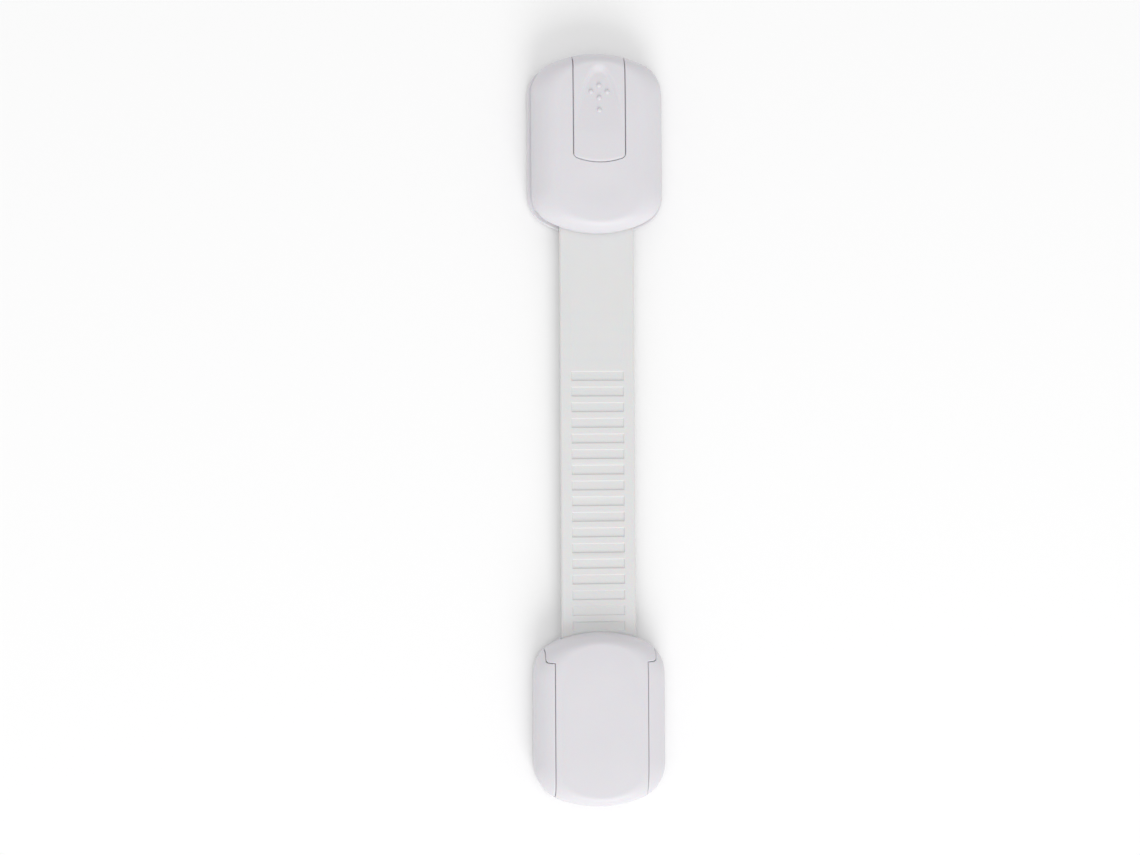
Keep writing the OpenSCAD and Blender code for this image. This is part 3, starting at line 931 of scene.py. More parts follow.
    def rim(self, path: Array, pebble: Pebble) -> Array:
        """Point of the side outline that each point of the slot path is joined to.

        Along the sides it lies straight out in X. Round the low edge it is where a ray from the
        middle of the slot's foot, turning from +X through -Y to -X, meets the outline.

        Args:
            path: plan points of the slot's path.
            pebble: the skin whose outline is meant.

        Returns:
            As many plan points.
        """
        outline = pebble.side()
        half = path[:, 0].max()
        on_side = np.abs(np.abs(path[:, 0]) - half) < 1e-6
        foot = path[on_side, 1].min()
        rim = np.stack([np.sign(path[:, 0]) * outline.half_x(path[:, 1]), path[:, 1]], -1)
        turn = -np.arccos(np.clip(path[:, 0] / half, -1, 1))
        dense_x = np.sin(np.linspace(-1, 1, 4001) * QUARTER) * outline.width / 2
        low = np.stack([dense_x, -outline.end_y(dense_x)], -1)
        ups = np.linspace(0, 1, 400)[:, None]
        right = low[-1] + (np.array([outline.width / 2, foot]) - low[-1]) * ups
        left = right * [-1, 1]
        line = np.vstack([left[::-1], low, right])
        angle = np.arctan2(line[:, 1] - foot, line[:, 0])
        over = (angle > 0) & (np.arange(len(line)) < len(left))
        angle = np.where(over, angle - 2 * np.pi, angle)
        order = np.argsort(angle)
        ray = np.stack([np.interp(turn, angle[order], line[order, k]) for k in (0, 1)], -1)
        return np.where(on_side[:, None], rim, ray)

    def scoop(self, x: Array, y: Array) -> Array:
        """Depth of the thumb scoop: a ramp towards the head's end, inside a round-headed arch.

        depth = 0.056 ramp^2 / (ramp + 1.5) smooth(d / w), ramp = y - 2.2, d the distance inside the
        arch y = apex - 15.5 |x / 7.2|^2.3, and w the wall's width: 3.1 at the apex, 1.5 on the arms.

        Args:
            x: places across the button.
            y: places along it, from the head's middle.

        Returns:
            Depths, 0 outside the arch.
        """
        apex, u = self.length / 2 - 3.7, np.abs(x) / 7.2
        slope = 15.5 * 2.3 / 7.2 * u**1.3
        d = (apex - 15.5 * u**2.3 - y) / np.sqrt(1 + slope**2)
        t = np.clip(d / (3.1 - 1.6 * np.minimum(1.6 * u, 1)), 0, 1)
        ramp = np.maximum(y - 2.2, 0)
        return 0.056 * ramp * ramp / (ramp + 1.5) * t * t * (3 - 2 * t)

    def button_plan(self, pebble: Pebble, half: float, low: float, corner: float) -> Array:
        """Plan grid of the button, from its low edge to the end wall.

        Rows are even over four fifths of their number and bunch up towards the end wall as sin t.

        Args:
            pebble: the skin whose end the grid meets.
            half: half-width.
            low: y of the low edge's lowest point.
            corner: radius of the low corners.

        Returns:
            260 x 121 x 2 plan points.
        """
        c = np.sin(np.linspace(-1, 1, 121) * QUARTER * 0.97) / np.sin(QUARTER * 0.97)
        foot, end = self.low_edge(c * half, half, low, corner), pebble.side().end_y(c * half)
        t = np.linspace(0, 1, 260)[:, None]
        share = np.where(t < 0.8, t / 0.8 * 0.86, 0.86 + 0.14 * np.sin((t - 0.8) / 0.2 * QUARTER))
        return np.stack([np.broadcast_to(c * half, (260, 121)), foot + (end - foot) * share], -1)

    def button(self) -> bpy.types.Object:
        """The button's plate with its scoop, dots and skirt, and the posts and barrel under it.

        Returns:
            The piece.
        """
        out, inn = self.pebble(), self.pebble(self.button_wall)
        r, half, low = self.lip_r, self.button_half + self.seam, self.button_low - self.seam
        near = self.button_plan(out, half - r, low + self.foot_lip, self.button_corner - r)
        edge = self.button_plan(out, half, low, self.button_corner)
        deep = self.button_plan(inn, half, low, self.button_corner)
        skin = Skin((0, self.middle_y + 10))
        top = out.skin(near)
        top[..., 2] = np.maximum(top[..., 2] - self.scoop(near[..., 0], near[..., 1]), self.button_wall_z)
        skin.grid(top, Facing.UP)
        lip = out.lip(border(near), border(edge), r=0.6, sink=self.scoop)
        lip[..., 2] = np.maximum(lip[..., 2], self.button_wall_z)
        lip[0] = border(top)
        skin.grid(lip, Facing.UP, closed=True)
        roof = inn.skin(deep)
        roof[..., 2] = np.clip(roof[..., 2] - 0.6, self.button_wall_z, self.roof_z)
        skin.grid(np.stack([lip[-1], border(roof)]), Facing.OUTWARD, closed=True)
        skin.grid(roof, Facing.DOWN)
        turns = np.linspace(-QUARTER, QUARTER, 13)
        dome = [(self.dot_size[0] * np.cos(t), self.dot_size[1] * np.sin(t)) for t in turns]
        for dx, dy in self.dots:
            x, y = np.array([dx]), np.array([self.length / 2 - 10.3 + dy])
            z = out.height(x, y)[0] - self.scoop(x, y)[0]
            lathe(skin, (dx, y[0] + self.middle_y, z + 0.02), dome, 28)
        top_z = self.roof_z + 0.3
        pusher = [(0, 4.15), (0.9, 4.15), (1.2, 4.4), (1.2, top_z), (0, top_z)]
        lathe(skin, (0, self.middle_y + 11.15, 0), pusher, 28)
        coil_post = [(0, 10.1), (2.6, 10.1), (2.8, 10.3), (2.8, top_z), (0, top_z)]
        lathe(skin, (0, self.middle_y + self.coil_y, 0), coil_post, 32)
        self.add_barrel(skin)
        return skin.piece("release_button_cap")

    def add_barrel(self, skin: Skin) -> None:
        """Adds the pin's barrel across the button, with its ends drawn in a little.

        Args:
            skin: where the faces go.
        """
        t = np.linspace(0, 2 * np.pi, 28, endpoint=False)
        x, r = np.array([-7.35, -7.2, 7.2, 7.35]), np.array([2.15, 2.3, 2.3, 2.15])
        y = self.middle_y + self.pin[0] + r[:, None] * np.cos(t)
        z = self.pin[1] + r[:, None] * np.sin(t)
        add_tube(skin, np.stack([np.broadcast_to(x[:, None], y.shape), y, z], -1))

    def plate(self) -> bpy.types.Object:
        """The catch plate with its slot for the spring tooth, and the two rails on it.

        Returns:
            The piece.
        """
        width, length = self.width + 2 * self.plate_rim, self.length + self.plate_tail
        outline = Outline(width, length, self.end_r, self.corner_r)
        slot = dense_ring(corner_rounded(self.tooth_slot, 0.4, 5), 140)
        shift = np.array([0, -self.plate_tail / 2])
        ring = match_by_angle(slot - shift, outline, (0, 3.35 - shift[1]))
        out, ring = outline.out(ring[:, 0], ring[:, 1]), ring + shift
        (low, high), r = self.plate_z, self.plate_edge
        f = np.linspace(0, QUARTER, 5)
        rows = [(slot, low), (ring - out * r, low)]
        rows += [(ring - out * r * (1 - np.sin(a)), low + r * (1 - np.cos(a))) for a in f[1:]]
        rows += [(ring - out * r * (1 - np.cos(a)), high - r * (1 - np.sin(a))) for a in f]
        rows += [(slot, high), (slot, low)]
        p = np.stack([raised(q, z) for q, z in rows]) + [0, self.middle_y, 0]
        skin = Skin((0, self.middle_y + 2))
        skin.grid(p[:2], Facing.DOWN, closed=True)
        skin.grid(p[1:-2], Facing.OUTWARD, closed=True)
        skin.grid(p[-3:-1], Facing.UP, closed=True)
        skin.grid(p[-2:], Facing.INWARD, closed=True)
        for side in (-1, 1):
            section = corner_rounded(self.rail, 0.22) * [side, 1]
            rounded_prism(skin, section, *(self.middle_y + y for y in self.rail_y))
        return skin.piece("catch_plate_body")

    def leaf(self) -> bpy.types.Object:
        """The catch spring: a strip bent up into a tooth, with its thickness square to the strip.

        Returns:
            The piece.
        """
        foot = [(-12.45, 2.2), (-7.4, 2.2), (3.0, 2.2), (8.6, 2.2)]
        rise = [(9.45, 2.35), (9.65, 2.9), (9.75, 3.55), (10.1, 3.8)]
        back = [(11.1, 3.78), (12.0, 3.3), (13.35, 2.35)]
        line = smooth_line(foot + rise + back, 60, 3)
        d = np.gradient(line, axis=0)
        n = np.stack([-d[:, 1], d[:, 0]], -1) / np.linalg.norm(d, axis=1, keepdims=True)
        section = flat_section(2.6, 0.2, 0.12)
        yz = line[:, None] + n[:, None] * section[None, :, 1:]
        x = np.broadcast_to(section[:, 0], yz.shape[:2])
        return tube_piece("catch_spring_leaf", np.concatenate([x[..., None], yz + [self.middle_y, 0]], -1))

    def coil(self) -> bpy.types.Object:
        """The button's coil: wire of 0.25 mm radius on x = R cos a, y = R sin a, with closed end turns.

        Returns:
            The piece.
        """
        turns, r, wire = 5.0, 2.4, 0.25
        t = np.linspace(0, 1, 260)
        a = 2 * np.pi * turns * t
        rise = 0.06 * t + 0.94 * np.clip((t - 0.12) / 0.76, 0, 1)
        z = self.coil_z[0] + (self.coil_z[1] - self.coil_z[0]) * rise
        centre = np.stack([r * np.cos(a), self.coil_y + self.middle_y + r * np.sin(a), z], -1)
        radial = np.stack([np.cos(a), np.sin(a), 0 * a], -1)
        b = np.linspace(0, 2 * np.pi, 12, endpoint=False)[None, :, None]
        up = np.array([0, 0, 1.0])
        round_wire = wire * (radial[:, None] * np.cos(b) + up * np.sin(b))
        return tube_piece("button_coil", centre[:, None] + round_wire)

    def build(self, dresser: Dresser) -> None:
        """Builds and dresses the head's pieces.

        Args:
            dresser: gives the pieces their finish and body.
        """
        dresser.dress(self.housing(), SHELL, ["latch_housing"], "latch_head")
        dresser.dress(self.button(), BUTTON, ["release_button"], "button")
        dresser.dress(self.plate(), SHELL, ["catch_base"], "catch_plate")
        leaf = dresser.dress(self.leaf(), SPRING, ["catch_spring"], "catch_plate")
        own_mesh(leaf)
        coil = dresser.dress(self.coil(), SPRING, ["button_spring"], "latch_head")
        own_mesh(coil)
        dresser.finish_node("latch_floor", SHELL)
        for node in ("housing_screws", "button_pin", "catch_spring_rivet"):
            dresser.finish_node(node, ZINC)


def dense_ring(ring: Array, n: int) -> Array:
    """A closed ring of points sampled again at even steps of its length.

    Args:
        ring: plan points in order.
        n: number of points wanted.

    Returns:
        n x 2 points.
    """
    closed = np.vstack([ring, ring[:1]])
    s = np.r_[0, np.cumsum(np.linalg.norm(np.diff(closed, axis=0), axis=1))]
    t = np.linspace(0, s[-1], n, endpoint=False)
    return np.stack([np.interp(t, s, closed[:, k]) for k in (0, 1)], -1)


def match_by_angle(inner: Array, outline: Outline, middle: tuple[float, float]) -> Array:
    """Points of an outline that an inner ring is joined to, at three parts even turns to one part own.

    Args:
        inner: closed ring of plan points.
        outline: the outline round it.
        middle: the point that turns are measured at.

    Returns:
        As many plan points as inner has.
    """

    def turn_of(points: Array) -> Array:
        """Turn of each point about the middle, without jumps."""
        return np.unwrap(np.arctan2(points[:, 1] - middle[1], points[:, 0] - middle[0]))

    x = np.sin(np.linspace(-1, 1, 1500) * QUARTER) * outline.width / 2
    y = outline.end_y(x)
    ring = dense_ring(np.vstack([np.stack([x, -y], -1), np.stack([x, y], -1)[::-1]]), 2400)
    after = np.roll(inner, -1, 0)
    way = np.sign(np.sum(inner[:, 0] * after[:, 1] - inner[:, 1] * after[:, 0]))
    angle, own = turn_of(ring), turn_of(inner)
    even = own[0] + way * np.linspace(0, 2 * np.pi, len(inner), endpoint=False)
    base = np.mod(angle - angle[0], 2 * np.pi) + angle[0]
    turn = np.mod(0.25 * own + 0.75 * even - angle[0], 2 * np.pi) + angle[0]
    order = np.argsort(base)
    found = [np.interp(turn, base[order], ring[order, k], period=2 * np.pi) for k in (0, 1)]
    return np.stack(found, -1)


def add_tube(skin: Skin, p: Array) -> None:
    """Adds a closed tube made of rings of points, with flat ends and its faces outwards.

    Args:
        skin: where the faces go.
        p: rings x points x 3.
    """
    rows, cols = p.shape[:2]
    quads, flat = quad_index(rows, cols, closed=True), p.reshape(-1, 3)
    hub = np.repeat(p.mean(1), cols, 0)
    a, b, c, d = (flat[quads[:, k]] for k in range(4))
    first, last = np.arange(cols)[::-1], np.arange(cols) + (rows - 1) * cols
    if np.sum(np.cross(c - a, d - b) * (a - hub[quads[:, 0]])) < 0:
        quads, first, last = quads[:, ::-1], first[::-1], last[::-1]
    skin.lids += [(first + skin.count).tolist(), (last + skin.count).tolist()]
    skin.add(flat, quads)


def smooth_line(points: Sequence[tuple[float, float]], n: int, passes: int) -> Array:
    """A bent line of n points, its bends softened by averaging neighbours as (1, 2, 1) / 4.

    Args:
        points: the bends.
        n: number of points wanted.
        passes: how often the line is averaged.

    Returns:
        n x 2 points.
    """
    v = np.array(points)
    t = np.linspace(0, len(v) - 1, n)
    line = np.stack([np.interp(t, np.arange(len(v)), v[:, k]) for k in (0, 1)], -1)
    for _ in range(passes):
        line[1:-1] = (line[:-2] + 2 * line[1:-1] + line[2:]) / 4
    return line


def flat_section(half: float, thick: float, corner: float) -> Array:
    """Section of a strip: half its width and half its thickness each way, with rounded corners."""
    return corner_rounded([(-half, -thick), (half, -thick), (half, thick), (-half, thick)], corner, 3)


def add_crossbar(skin: Skin, section: Array, half: float) -> None:
    """Adds a closed bar along X, from -half to half, of a section of n x 2 points (y, z)."""
    add_tube(skin, np.stack([np.insert(section, 0, x, axis=1) for x in (-half, half)]))


def tube_piece(name: str, p: Array) -> bpy.types.Object:
    """A piece that is one closed tube.

    Args:
        name: the piece's name.
        p: rings x points x 3.

    Returns:
        The piece.
    """
    skin = Skin()
    add_tube(skin, p)
    return skin.piece(name)


# ---------------------------------------------------------------- strap


@dataclass
class LadderStrap:
    """The soft strap with its ladder of pockets. It flexes on six lines between the head and the ladder."""

    half: float = 11.25
    low_z: float = 4.4
    top_z: float = 6.2
    edge_r: float = 0.6
    pitch: float = 4.7
    pocket_length: float = 3.0
    pocket_half: float = 8.0
    pocket_depth: float = 0.34
    groove_depth: float = 0.5
    first_y: float = 17.85
    last_y: float = -111.2
    start_y: float = 74.85
    hinge_y: tuple[float, ...] = (32.8, 28.1, 23.4, 18.7, 14.0, 9.3)
    bodies: tuple[str, ...] = ("latch_head", *(f"strap_link_{k}" for k in range(1, 6)), "strap_tail")

    def pocket(self, x: Array, y: Array) -> Array:
        """How deep into a pocket (x, y) is, from 0 to 1: soft steps at the pocket's four sides.

        Args:
            x: places across the strap.
            y: places along it.

        Returns:
            Shares of the pocket's depth.
        """
        k = np.floor((self.first_y - y) / self.pitch)
        inside = self.first_y - k * self.pitch - y
        count = np.floor((self.first_y - self.pocket_length - self.last_y - 1) / self.pitch)
        used = (k >= 0) & (k <= count)

        def soft(d: Array) -> Array:
            """0 outside, 1 beyond 0.3 mm inside."""
            t = np.clip(d / 0.3, 0, 1)
            return t * t * (3 - 2 * t)

        along = soft(np.minimum(inside, self.pocket_length - inside))
        across = soft(self.pocket_half - np.abs(x))
        return np.where(used, along * across, 0.0)

    def stations(self, y0: float, y1: float) -> Array:
        """Y of the rings between y0 and y1: every 1.2 mm, and close together at pocket ends.

        Args:
            y0: where the stretch starts.
            y1: where it ends.

        Returns:
            Sorted places along the strap.
        """
        k = np.arange(0, 40)[:, None]
        steps = np.array([0, 0.08, 0.15, 0.22, 0.3])
        upper = self.first_y - k * self.pitch - steps
        lower = self.first_y - k * self.pitch - self.pocket_length + steps
        y = np.r_[np.arange(y0, y1, 1.2), upper.ravel(), lower.ravel(), y1]
        return np.unique(np.round(y[(y >= y0) & (y <= y1)], 4))

    def ring(self) -> Array:
        """Section (x, side): points round a flat bar with rounded edges, fine at the pockets' ends.

        Returns:
            n x 2 points, the height measured from the strap's middle.
        """
        flat = np.r_[np.linspace(-1, 1, 9) * 7.6, -8.3, 8.3]
        fine = np.array([7.7, 7.78, 7.85, 7.92, 8.0])
        x = np.unique(np.r_[flat, fine, -fine, np.array([-9.6, 9.6, -10.4, 10.4])])
        f = np.linspace(QUARTER, -QUARTER, 9)
        thick = (self.top_z - self.low_z) / 2
        ex = self.half - self.edge_r + self.edge_r * np.cos(f)
        ez = np.where(f > 0, thick - self.edge_r, -(thick - self.edge_r)) + self.edge_r * np.sin(f)
        right = np.stack([ex, ez], -1)
        top = np.stack([x, np.full_like(x, thick)], -1)
        bottom = np.stack([x[::-1], np.full_like(x, -thick)], -1)
        return np.vstack([top, right, bottom, right[::-1] * [-1, 1]])

    def length(self, name: str, y0: float, y1: float) -> bpy.types.Object:
        """A stretch of strap: the section carried from y0 to y1, sunk in the pockets of both faces.

        The top's borders lie 0.12 lower, and its bare stretch has two low ridges of the form
        0.07 exp(-((|x| - 7.85) / 0.35)^2).

        Args:
            name: the piece's name.
            y0: where it starts.
            y1: where it ends.

        Returns:
            The piece.
        """
        ring, y = self.ring(), self.stations(y0, y1)
        mid, thick = (self.top_z + self.low_z) / 2, (self.top_z - self.low_z) / 2
        x = np.broadcast_to(ring[:, 0], (len(y), len(ring)))
        yy = np.broadcast_to(y[:, None], x.shape)
        on_top, below = ring[:, 1] > thick - 1e-6, ring[:, 1] < -thick + 1e-6
        sink = self.pocket(x, yy)
        z = mid + ring[:, 1] - np.where(on_top, sink * self.pocket_depth, 0)
        z += np.where(below, sink * self.groove_depth, 0)
        step = np.clip((np.abs(x) - 9.8) / 0.5, 0, 1)
        z -= np.where(on_top, step * step * (3 - 2 * step) * 0.12, 0)
        ridge = np.exp(-(((np.abs(x) - 7.85) / 0.35) ** 2)) * 0.07
        plain = np.clip((yy - self.first_y - 1) / 3, 0, 1) * np.clip((41 - yy) / 6, 0, 1)
        z += np.where(on_top, ridge * plain, 0)
        return tube_piece(name, np.stack([x, yy, z], -1))

    def build(self, dresser: Dresser) -> None:
        """Builds the strap's stretches; each middle one spans one flex line.

        Args:
            dresser: gives the pieces their finish and body.
        """
        cuts = [(a + b) / 2 for a, b in zip(self.hinge_y, self.hinge_y[1:])]
        tops = [self.hinge_y[0] + self.pitch / 2, *cuts]
        feet = [*cuts, self.hinge_y[-1] - self.pitch / 2]
        head = self.length("strap_head_end", tops[0], self.start_y)
        dresser.dress(head, STRAP, ["strap_anchor_end"], "latch_head")
        replaced = [f"strap_flex_{k}" for k in range(1, 6)]
        for k, (top, foot) in enumerate(zip(tops, feet)):
            piece = self.length(f"strap_bend_{k + 1}", foot, top)
            dresser.dress(piece, STRAP, replaced[k : k + 1])
            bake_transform(piece)
        tail = self.length("strap_ladder_tail", self.last_y, feet[-1])
        dresser.dress(tail, STRAP, ["strap_ladder"], "strap_tail")


# ---------------------------------------------------------------- adjuster


@dataclass
class Adjuster:
    """The stick-on adjuster: base with two cheeks, sliding T-shaped cover and steel pawl.

    Values of y are measured from middle_y. cheek and ear are half-widths of the T's stem and head,
    shoulder the y where one turns into the other, guide the half-width of the strap's channel.
    """

    middle_y: float = -86.6
    width: float = 39.4
    length: float = 52.2
    end_r: float = 35.0
    corner_r: float = 11.2
    top_z: float = 13.4
    side_z: float = 6.8
    cheek: float = 14.15
    ear: float = 16.85
    gap: float = 0.3
    seam: float = 0.08
    shoulder: float = 17.3
    guide: float = 11.55
    ledge_z: float = 6.3
    floor_z: float = 4.2
    cover_z: float = 6.5
    wall: float = 1.6
    lip_r: float = 0.32
    straight: float = 5.0
    ear_corner: float = 0.8
    tongue: tuple = ((13.7, 7.15), (15.05, 7.15), (15.05, 8.25), (13.7, 8.25))
    tongue_y: tuple[float, float] = (-19.0, 16.3)
    rib: tuple = ((-1.5, 6.5), (0.0, 6.5), (0.0, 12.0), (-1.5, 12.0))
    groove_half: float = 15.25
    groove_y: float = -20.0
    groove_z: tuple[float, float] = (6.95, 8.45)
    pocket_half: float = 8.8
    pocket_y: tuple[float, float] = (-20.0, 4.0)
    pocket_z: float = 2.0
    foot_z: float = 1.0
    foot_r: float = 0.5

    def pebble(self, inset: float = 0.0) -> Pebble:
        """The adjuster's skin.

        Args:
            inset: how far it is moved inwards.

        Returns:
            The skin.
        """
        outline = Outline(self.width, self.length, self.end_r, self.corner_r)
        return Pebble(outline, self.middle_y, self.side_z, self.top_z, inset=inset)

    def rows(self, c: Array, mid: float, ear: float, shoulder: float, outline: Outline) -> Array:
        """Plan grid of the T: x = c * half-width, which is mid up to the shoulder and ear beyond it.

        Rows bunch up towards both ends as sin t, so that they follow the roll.

        Args:
            c: 1-D array of shares of the half-width, -1 to 1.
            mid: half-width of the T's stem.
            ear: half-width beyond the shoulder.
            shoulder: y of the shoulder.
            outline: plan that ends the rows.

        Returns:
            rows x len(c) x 2 plan points.
        """
        t = np.linspace(0, 1, 40)[:, None]
        xa = np.broadcast_to(c * mid, (40, len(c)))
        ya = -(self.straight + (outline.end_y(xa) - self.straight) * np.sin((1 - t) * QUARTER))
        tb = np.linspace(0, 1, 22)[1:, None]
        xb = np.broadcast_to(c * mid, (21, len(c)))
        yb = np.broadcast_to(-self.straight + (shoulder + self.straight) * tb, xb.shape)
        k, a = np.linspace(0, 1, 7)[1:, None], np.linspace(0, QUARTER, 7)[1:, None]
        turn = self.ear_corner
        xs = c * np.vstack([mid + (ear - turn - mid) * k, ear - turn * (1 - np.sin(a))])
        ys = np.broadcast_to(shoulder + np.vstack([0.12 * k, 0.12 + turn * (1 - np.cos(a))]), xs.shape)
        xc = np.broadcast_to(c * ear, (30, len(c)))
        tc = np.linspace(0, 1, 31)[1:, None]
        start = shoulder + 0.12 + turn
        yc = start + (outline.end_y(xc) - start) * np.sin(tc * QUARTER)
        return np.stack([np.vstack([xa, xb, xs, xc]), np.vstack([ya, yb, ys, yc])], -1)

    def cover(self) -> bpy.types.Object:
        """The T-shaped cover: crowned panel, end walls, skirts, a clamping rib and two tongues.

        Returns:
            The piece.
        """
        out, inn = self.pebble(), self.pebble(self.wall)
        r = self.lip_r
        c = np.sin(np.linspace(-1, 1, 61) * 1.45) / np.sin(1.45)
        shut = self.gap - self.seam
        mid, ear, shoulder = self.cheek - shut, self.ear - shut, self.shoulder + shut
        near = self.rows(c, mid - r, ear - r, shoulder + r, out.side())
        edge = self.rows(c, mid, ear, shoulder, out.side())
        skin = Skin((0, self.middle_y))
        lips = [np.swapaxes(out.lip(near[:, k], edge[:, k], r=r), 0, 1) for k in (0, -1)]
        top = np.concatenate([lips[0][:, :0:-1], out.skin(near), lips[1][:, 1:]], 1)
        top[..., 2] = np.maximum(top[..., 2], self.cover_z + 0.05)
        skin.grid(top, Facing.UP)
        c = np.interp(np.linspace(-1, 1, top.shape[1]), np.linspace(-1, 1, len(c)), c)
        deep = self.rows(c, mid - self.wall, ear - self.wall, shoulder + self.wall, inn.side())
        roof = inn.skin(deep)
        roof[..., 2] = np.minimum(roof[..., 2], self.top_z - self.wall)
        skin.grid(roof, Facing.DOWN)
        feet = []
        for ring, side in ((border(top), Facing.OUTWARD), (border(roof), Facing.INWARD)):
            share = np.linspace(0, 1, 4)[:, None]
            wall = np.broadcast_to(ring, (4, *ring.shape)).copy()
            wall[..., 2] = ring[:, 2] + (self.cover_z - ring[:, 2]) * share
            skin.grid(wall, side, closed=True)
            feet.append(wall[-1])
        skin.grid(np.stack(feet), Facing.DOWN, closed=True)
        tongue = corner_rounded(self.tongue, 0.25)
        for side in (-1, 1):
            ends = (self.middle_y + y for y in self.tongue_y)
            rounded_prism(skin, tongue * [side, 1], *ends, 0.3)
        add_crossbar(skin, corner_rounded(self.rib, 0.3) + [self.middle_y, 0], 12.3)
        return skin.piece("adjuster_cover_shell")

    def base(self) -> bpy.types.Object:
        """The base: upright walls, rolled cheeks, and the bay that the strap and the cover run in.

        Returns:
            The piece.
        """
        out, r = self.pebble(), self.lip_r
        side = out.side()
        skin = Skin((0, self.middle_y))
        one = np.array([1.0])
        cheek, ear, shoulder = self.cheek - self.seam, self.ear - self.seam, self.shoulder + self.seam
        near = self.rows(one, cheek + r, ear + r, shoulder - r, side)[:, 0]
        edge = self.rows(one, cheek, ear, shoulder, side)[:, 0]
        rim = np.stack([side.half_x(near[:, 1]), near[:, 1]], -1)
        ring = []
        for flip in (1, -1):
            turn = np.array([flip, 1])
            share = np.sin(np.linspace(0, 1, 30) * QUARTER)
            roll = out.skin(blend_points(near * turn, rim * turn, share))
            roll[-1, :, 2] = self.side_z
            skin.grid(roll, Facing.UP)
            lip = out.lip(near * turn, edge * turn, r=r)
            lip[0] = roll[0]
            skin.grid(lip, Facing.UP)
            bay = self.bay(lip[-1], edge, side, turn)
            skin.grid(bay, np.array([-flip, 0.0, 0.6]))
            low_end, high_end = (np.vstack([lip[:, k], bay[1:, k]]) for k in (0, -1))
            ring.append(np.vstack([low_end[::-1], roll[-1], high_end]))
        floor = self.bay_floor(skin, side, bay[-1, :, 1] - self.middle_y)
        self.outer_wall(skin, side, np.vstack([ring[0], floor[-1][::-1], ring[1][::-1], floor[0]]))
        return skin.piece("adjuster_base_body")

    def bay(self, lip: Array, edge: Array, side: Outline, turn: Array) -> Array:
        """One side of the bay, from the cheek's edge down to the strap's channel.

        The section is a groove for the cover's tongue, the guide ledge and the channel's side. The
        groove reaches the strap's end of the base and stops short of the other end. Rows lie 0.01 mm
        or more apart at both ends, so that the end walls have no upright steps.

        Args:
            lip: last row of the cheek's rounded edge.
            edge: the cheek's edge in plan, on the +X side.
            side: plan of the base.
            turn: (1, 1) for the +X side, (-1, 1) for the other.

        Returns:
            rows x points x 3.
        """
        x, y = edge[:, 0], edge[:, 1]
        low, high = self.groove_z
        groove = np.where(y > self.groove_y, np.maximum(x - 0.02, self.groove_half), x - 0.02)
        section = [(x - 0.01, high), (groove, high), (groove - 0.01, low)]
        section += [(x - 0.04, low), (x - 0.05, self.ledge_z)]
        rows = [lip]
        for across, level in section:
            plan = np.stack([across, self.on_end(side, across, y)], -1) * turn
            rows.append(raised(plan, np.minimum(level, lip[:, 2])) + [0, self.middle_y, 0])
        for across, level in ((self.guide + 0.01, self.ledge_z), (self.guide, self.floor_z)):
            plan = self.rows(np.array([1.0]), across, across, self.shoulder, side)[:, 0]
            plan[:, 0] = across
            rows.append(raised(plan * turn, level) + [0, self.middle_y, 0])
        return np.stack(rows)

    def on_end(self, side: Outline, x: Array, y: Array) -> Array:
        """The same y, but for the first and last points the y of the outline at x.

        Args:
            side: plan of the base.
            x: places across.
            y: places along.

        Returns:
            A changed copy of y.
        """
        y = y.copy()
        y[0], y[-1] = -side.end_y(x[:1])[0], side.end_y(x[-1:])[0]
        return y

    def bay_floor(self, skin: Skin, side: Outline, y: Array) -> Array:
        """Floor of the strap's channel with the pocket that holds the pawl.

        Args:
            skin: where the faces go.
            side: plan of the base.
            y: y of the rows along the channel's sides.

        Returns:
            The floor's grid.
        """
        half, (low, high) = self.pocket_half, self.pocket_y
        right = np.array([4, 8.4, half, half + 0.02, 10.2, self.guide])
        x = np.r_[-right[::-1], 0, right]
        past = np.maximum(np.abs(y[:, None]) + low, 0) / (side.end_y(np.array([self.guide])) + low)
        yy = np.sign(y[:, None]) * (np.minimum(np.abs(y[:, None]), -low) + past * (side.end_y(x) + low))
        xx = np.broadcast_to(x, yy.shape)
        deep = (np.abs(xx) <= half) & (yy >= low) & (yy <= high)
        floor = np.stack([xx, yy + self.middle_y, np.where(deep, self.pocket_z, self.floor_z)], -1)
        skin.grid(floor, Facing.UP)
        return floor

    def outer_wall(self, skin: Skin, side: Outline, ring: Array) -> None:
        """Walls and bottom of the base.

        Args:
            skin: where the faces go.
            side: plan of the base.
            ring: closed top edge of the walls, in order round the base.
        """
        x, y = ring[:, 0], ring[:, 1] - self.middle_y
        at_end = (np.abs(x) < np.where(y < 0, self.cheek, self.ear) + self.lip_r) & (np.abs(y) > 18)
        plan = np.stack([x, np.where(at_end, np.sign(y) * side.end_y(x), y)], -1)
        n, low, r = side.out(plan[:, 0], plan[:, 1]), self.foot_z, self.foot_r
        turns = np.linspace(0, QUARTER, 5)
        foot = [raised(plan - n * r * (1 - np.sin(a)), low + r * (1 - np.cos(a))) for a in turns]
        top = np.minimum(ring[:, 2], self.ledge_z) - 0.1
        body = [raised(plan, low + r + (top - low - r) * share) for share in np.linspace(0, 1, 6)[1:]]
        last = raised(np.stack([x, y], -1), ring[:, 2])
        p = np.stack([*foot, *body, last]) + [0, self.middle_y, 0]
        skin.grid(p, Facing.OUTWARD, closed=True)
        skin.lid(p[0], Facing.DOWN)

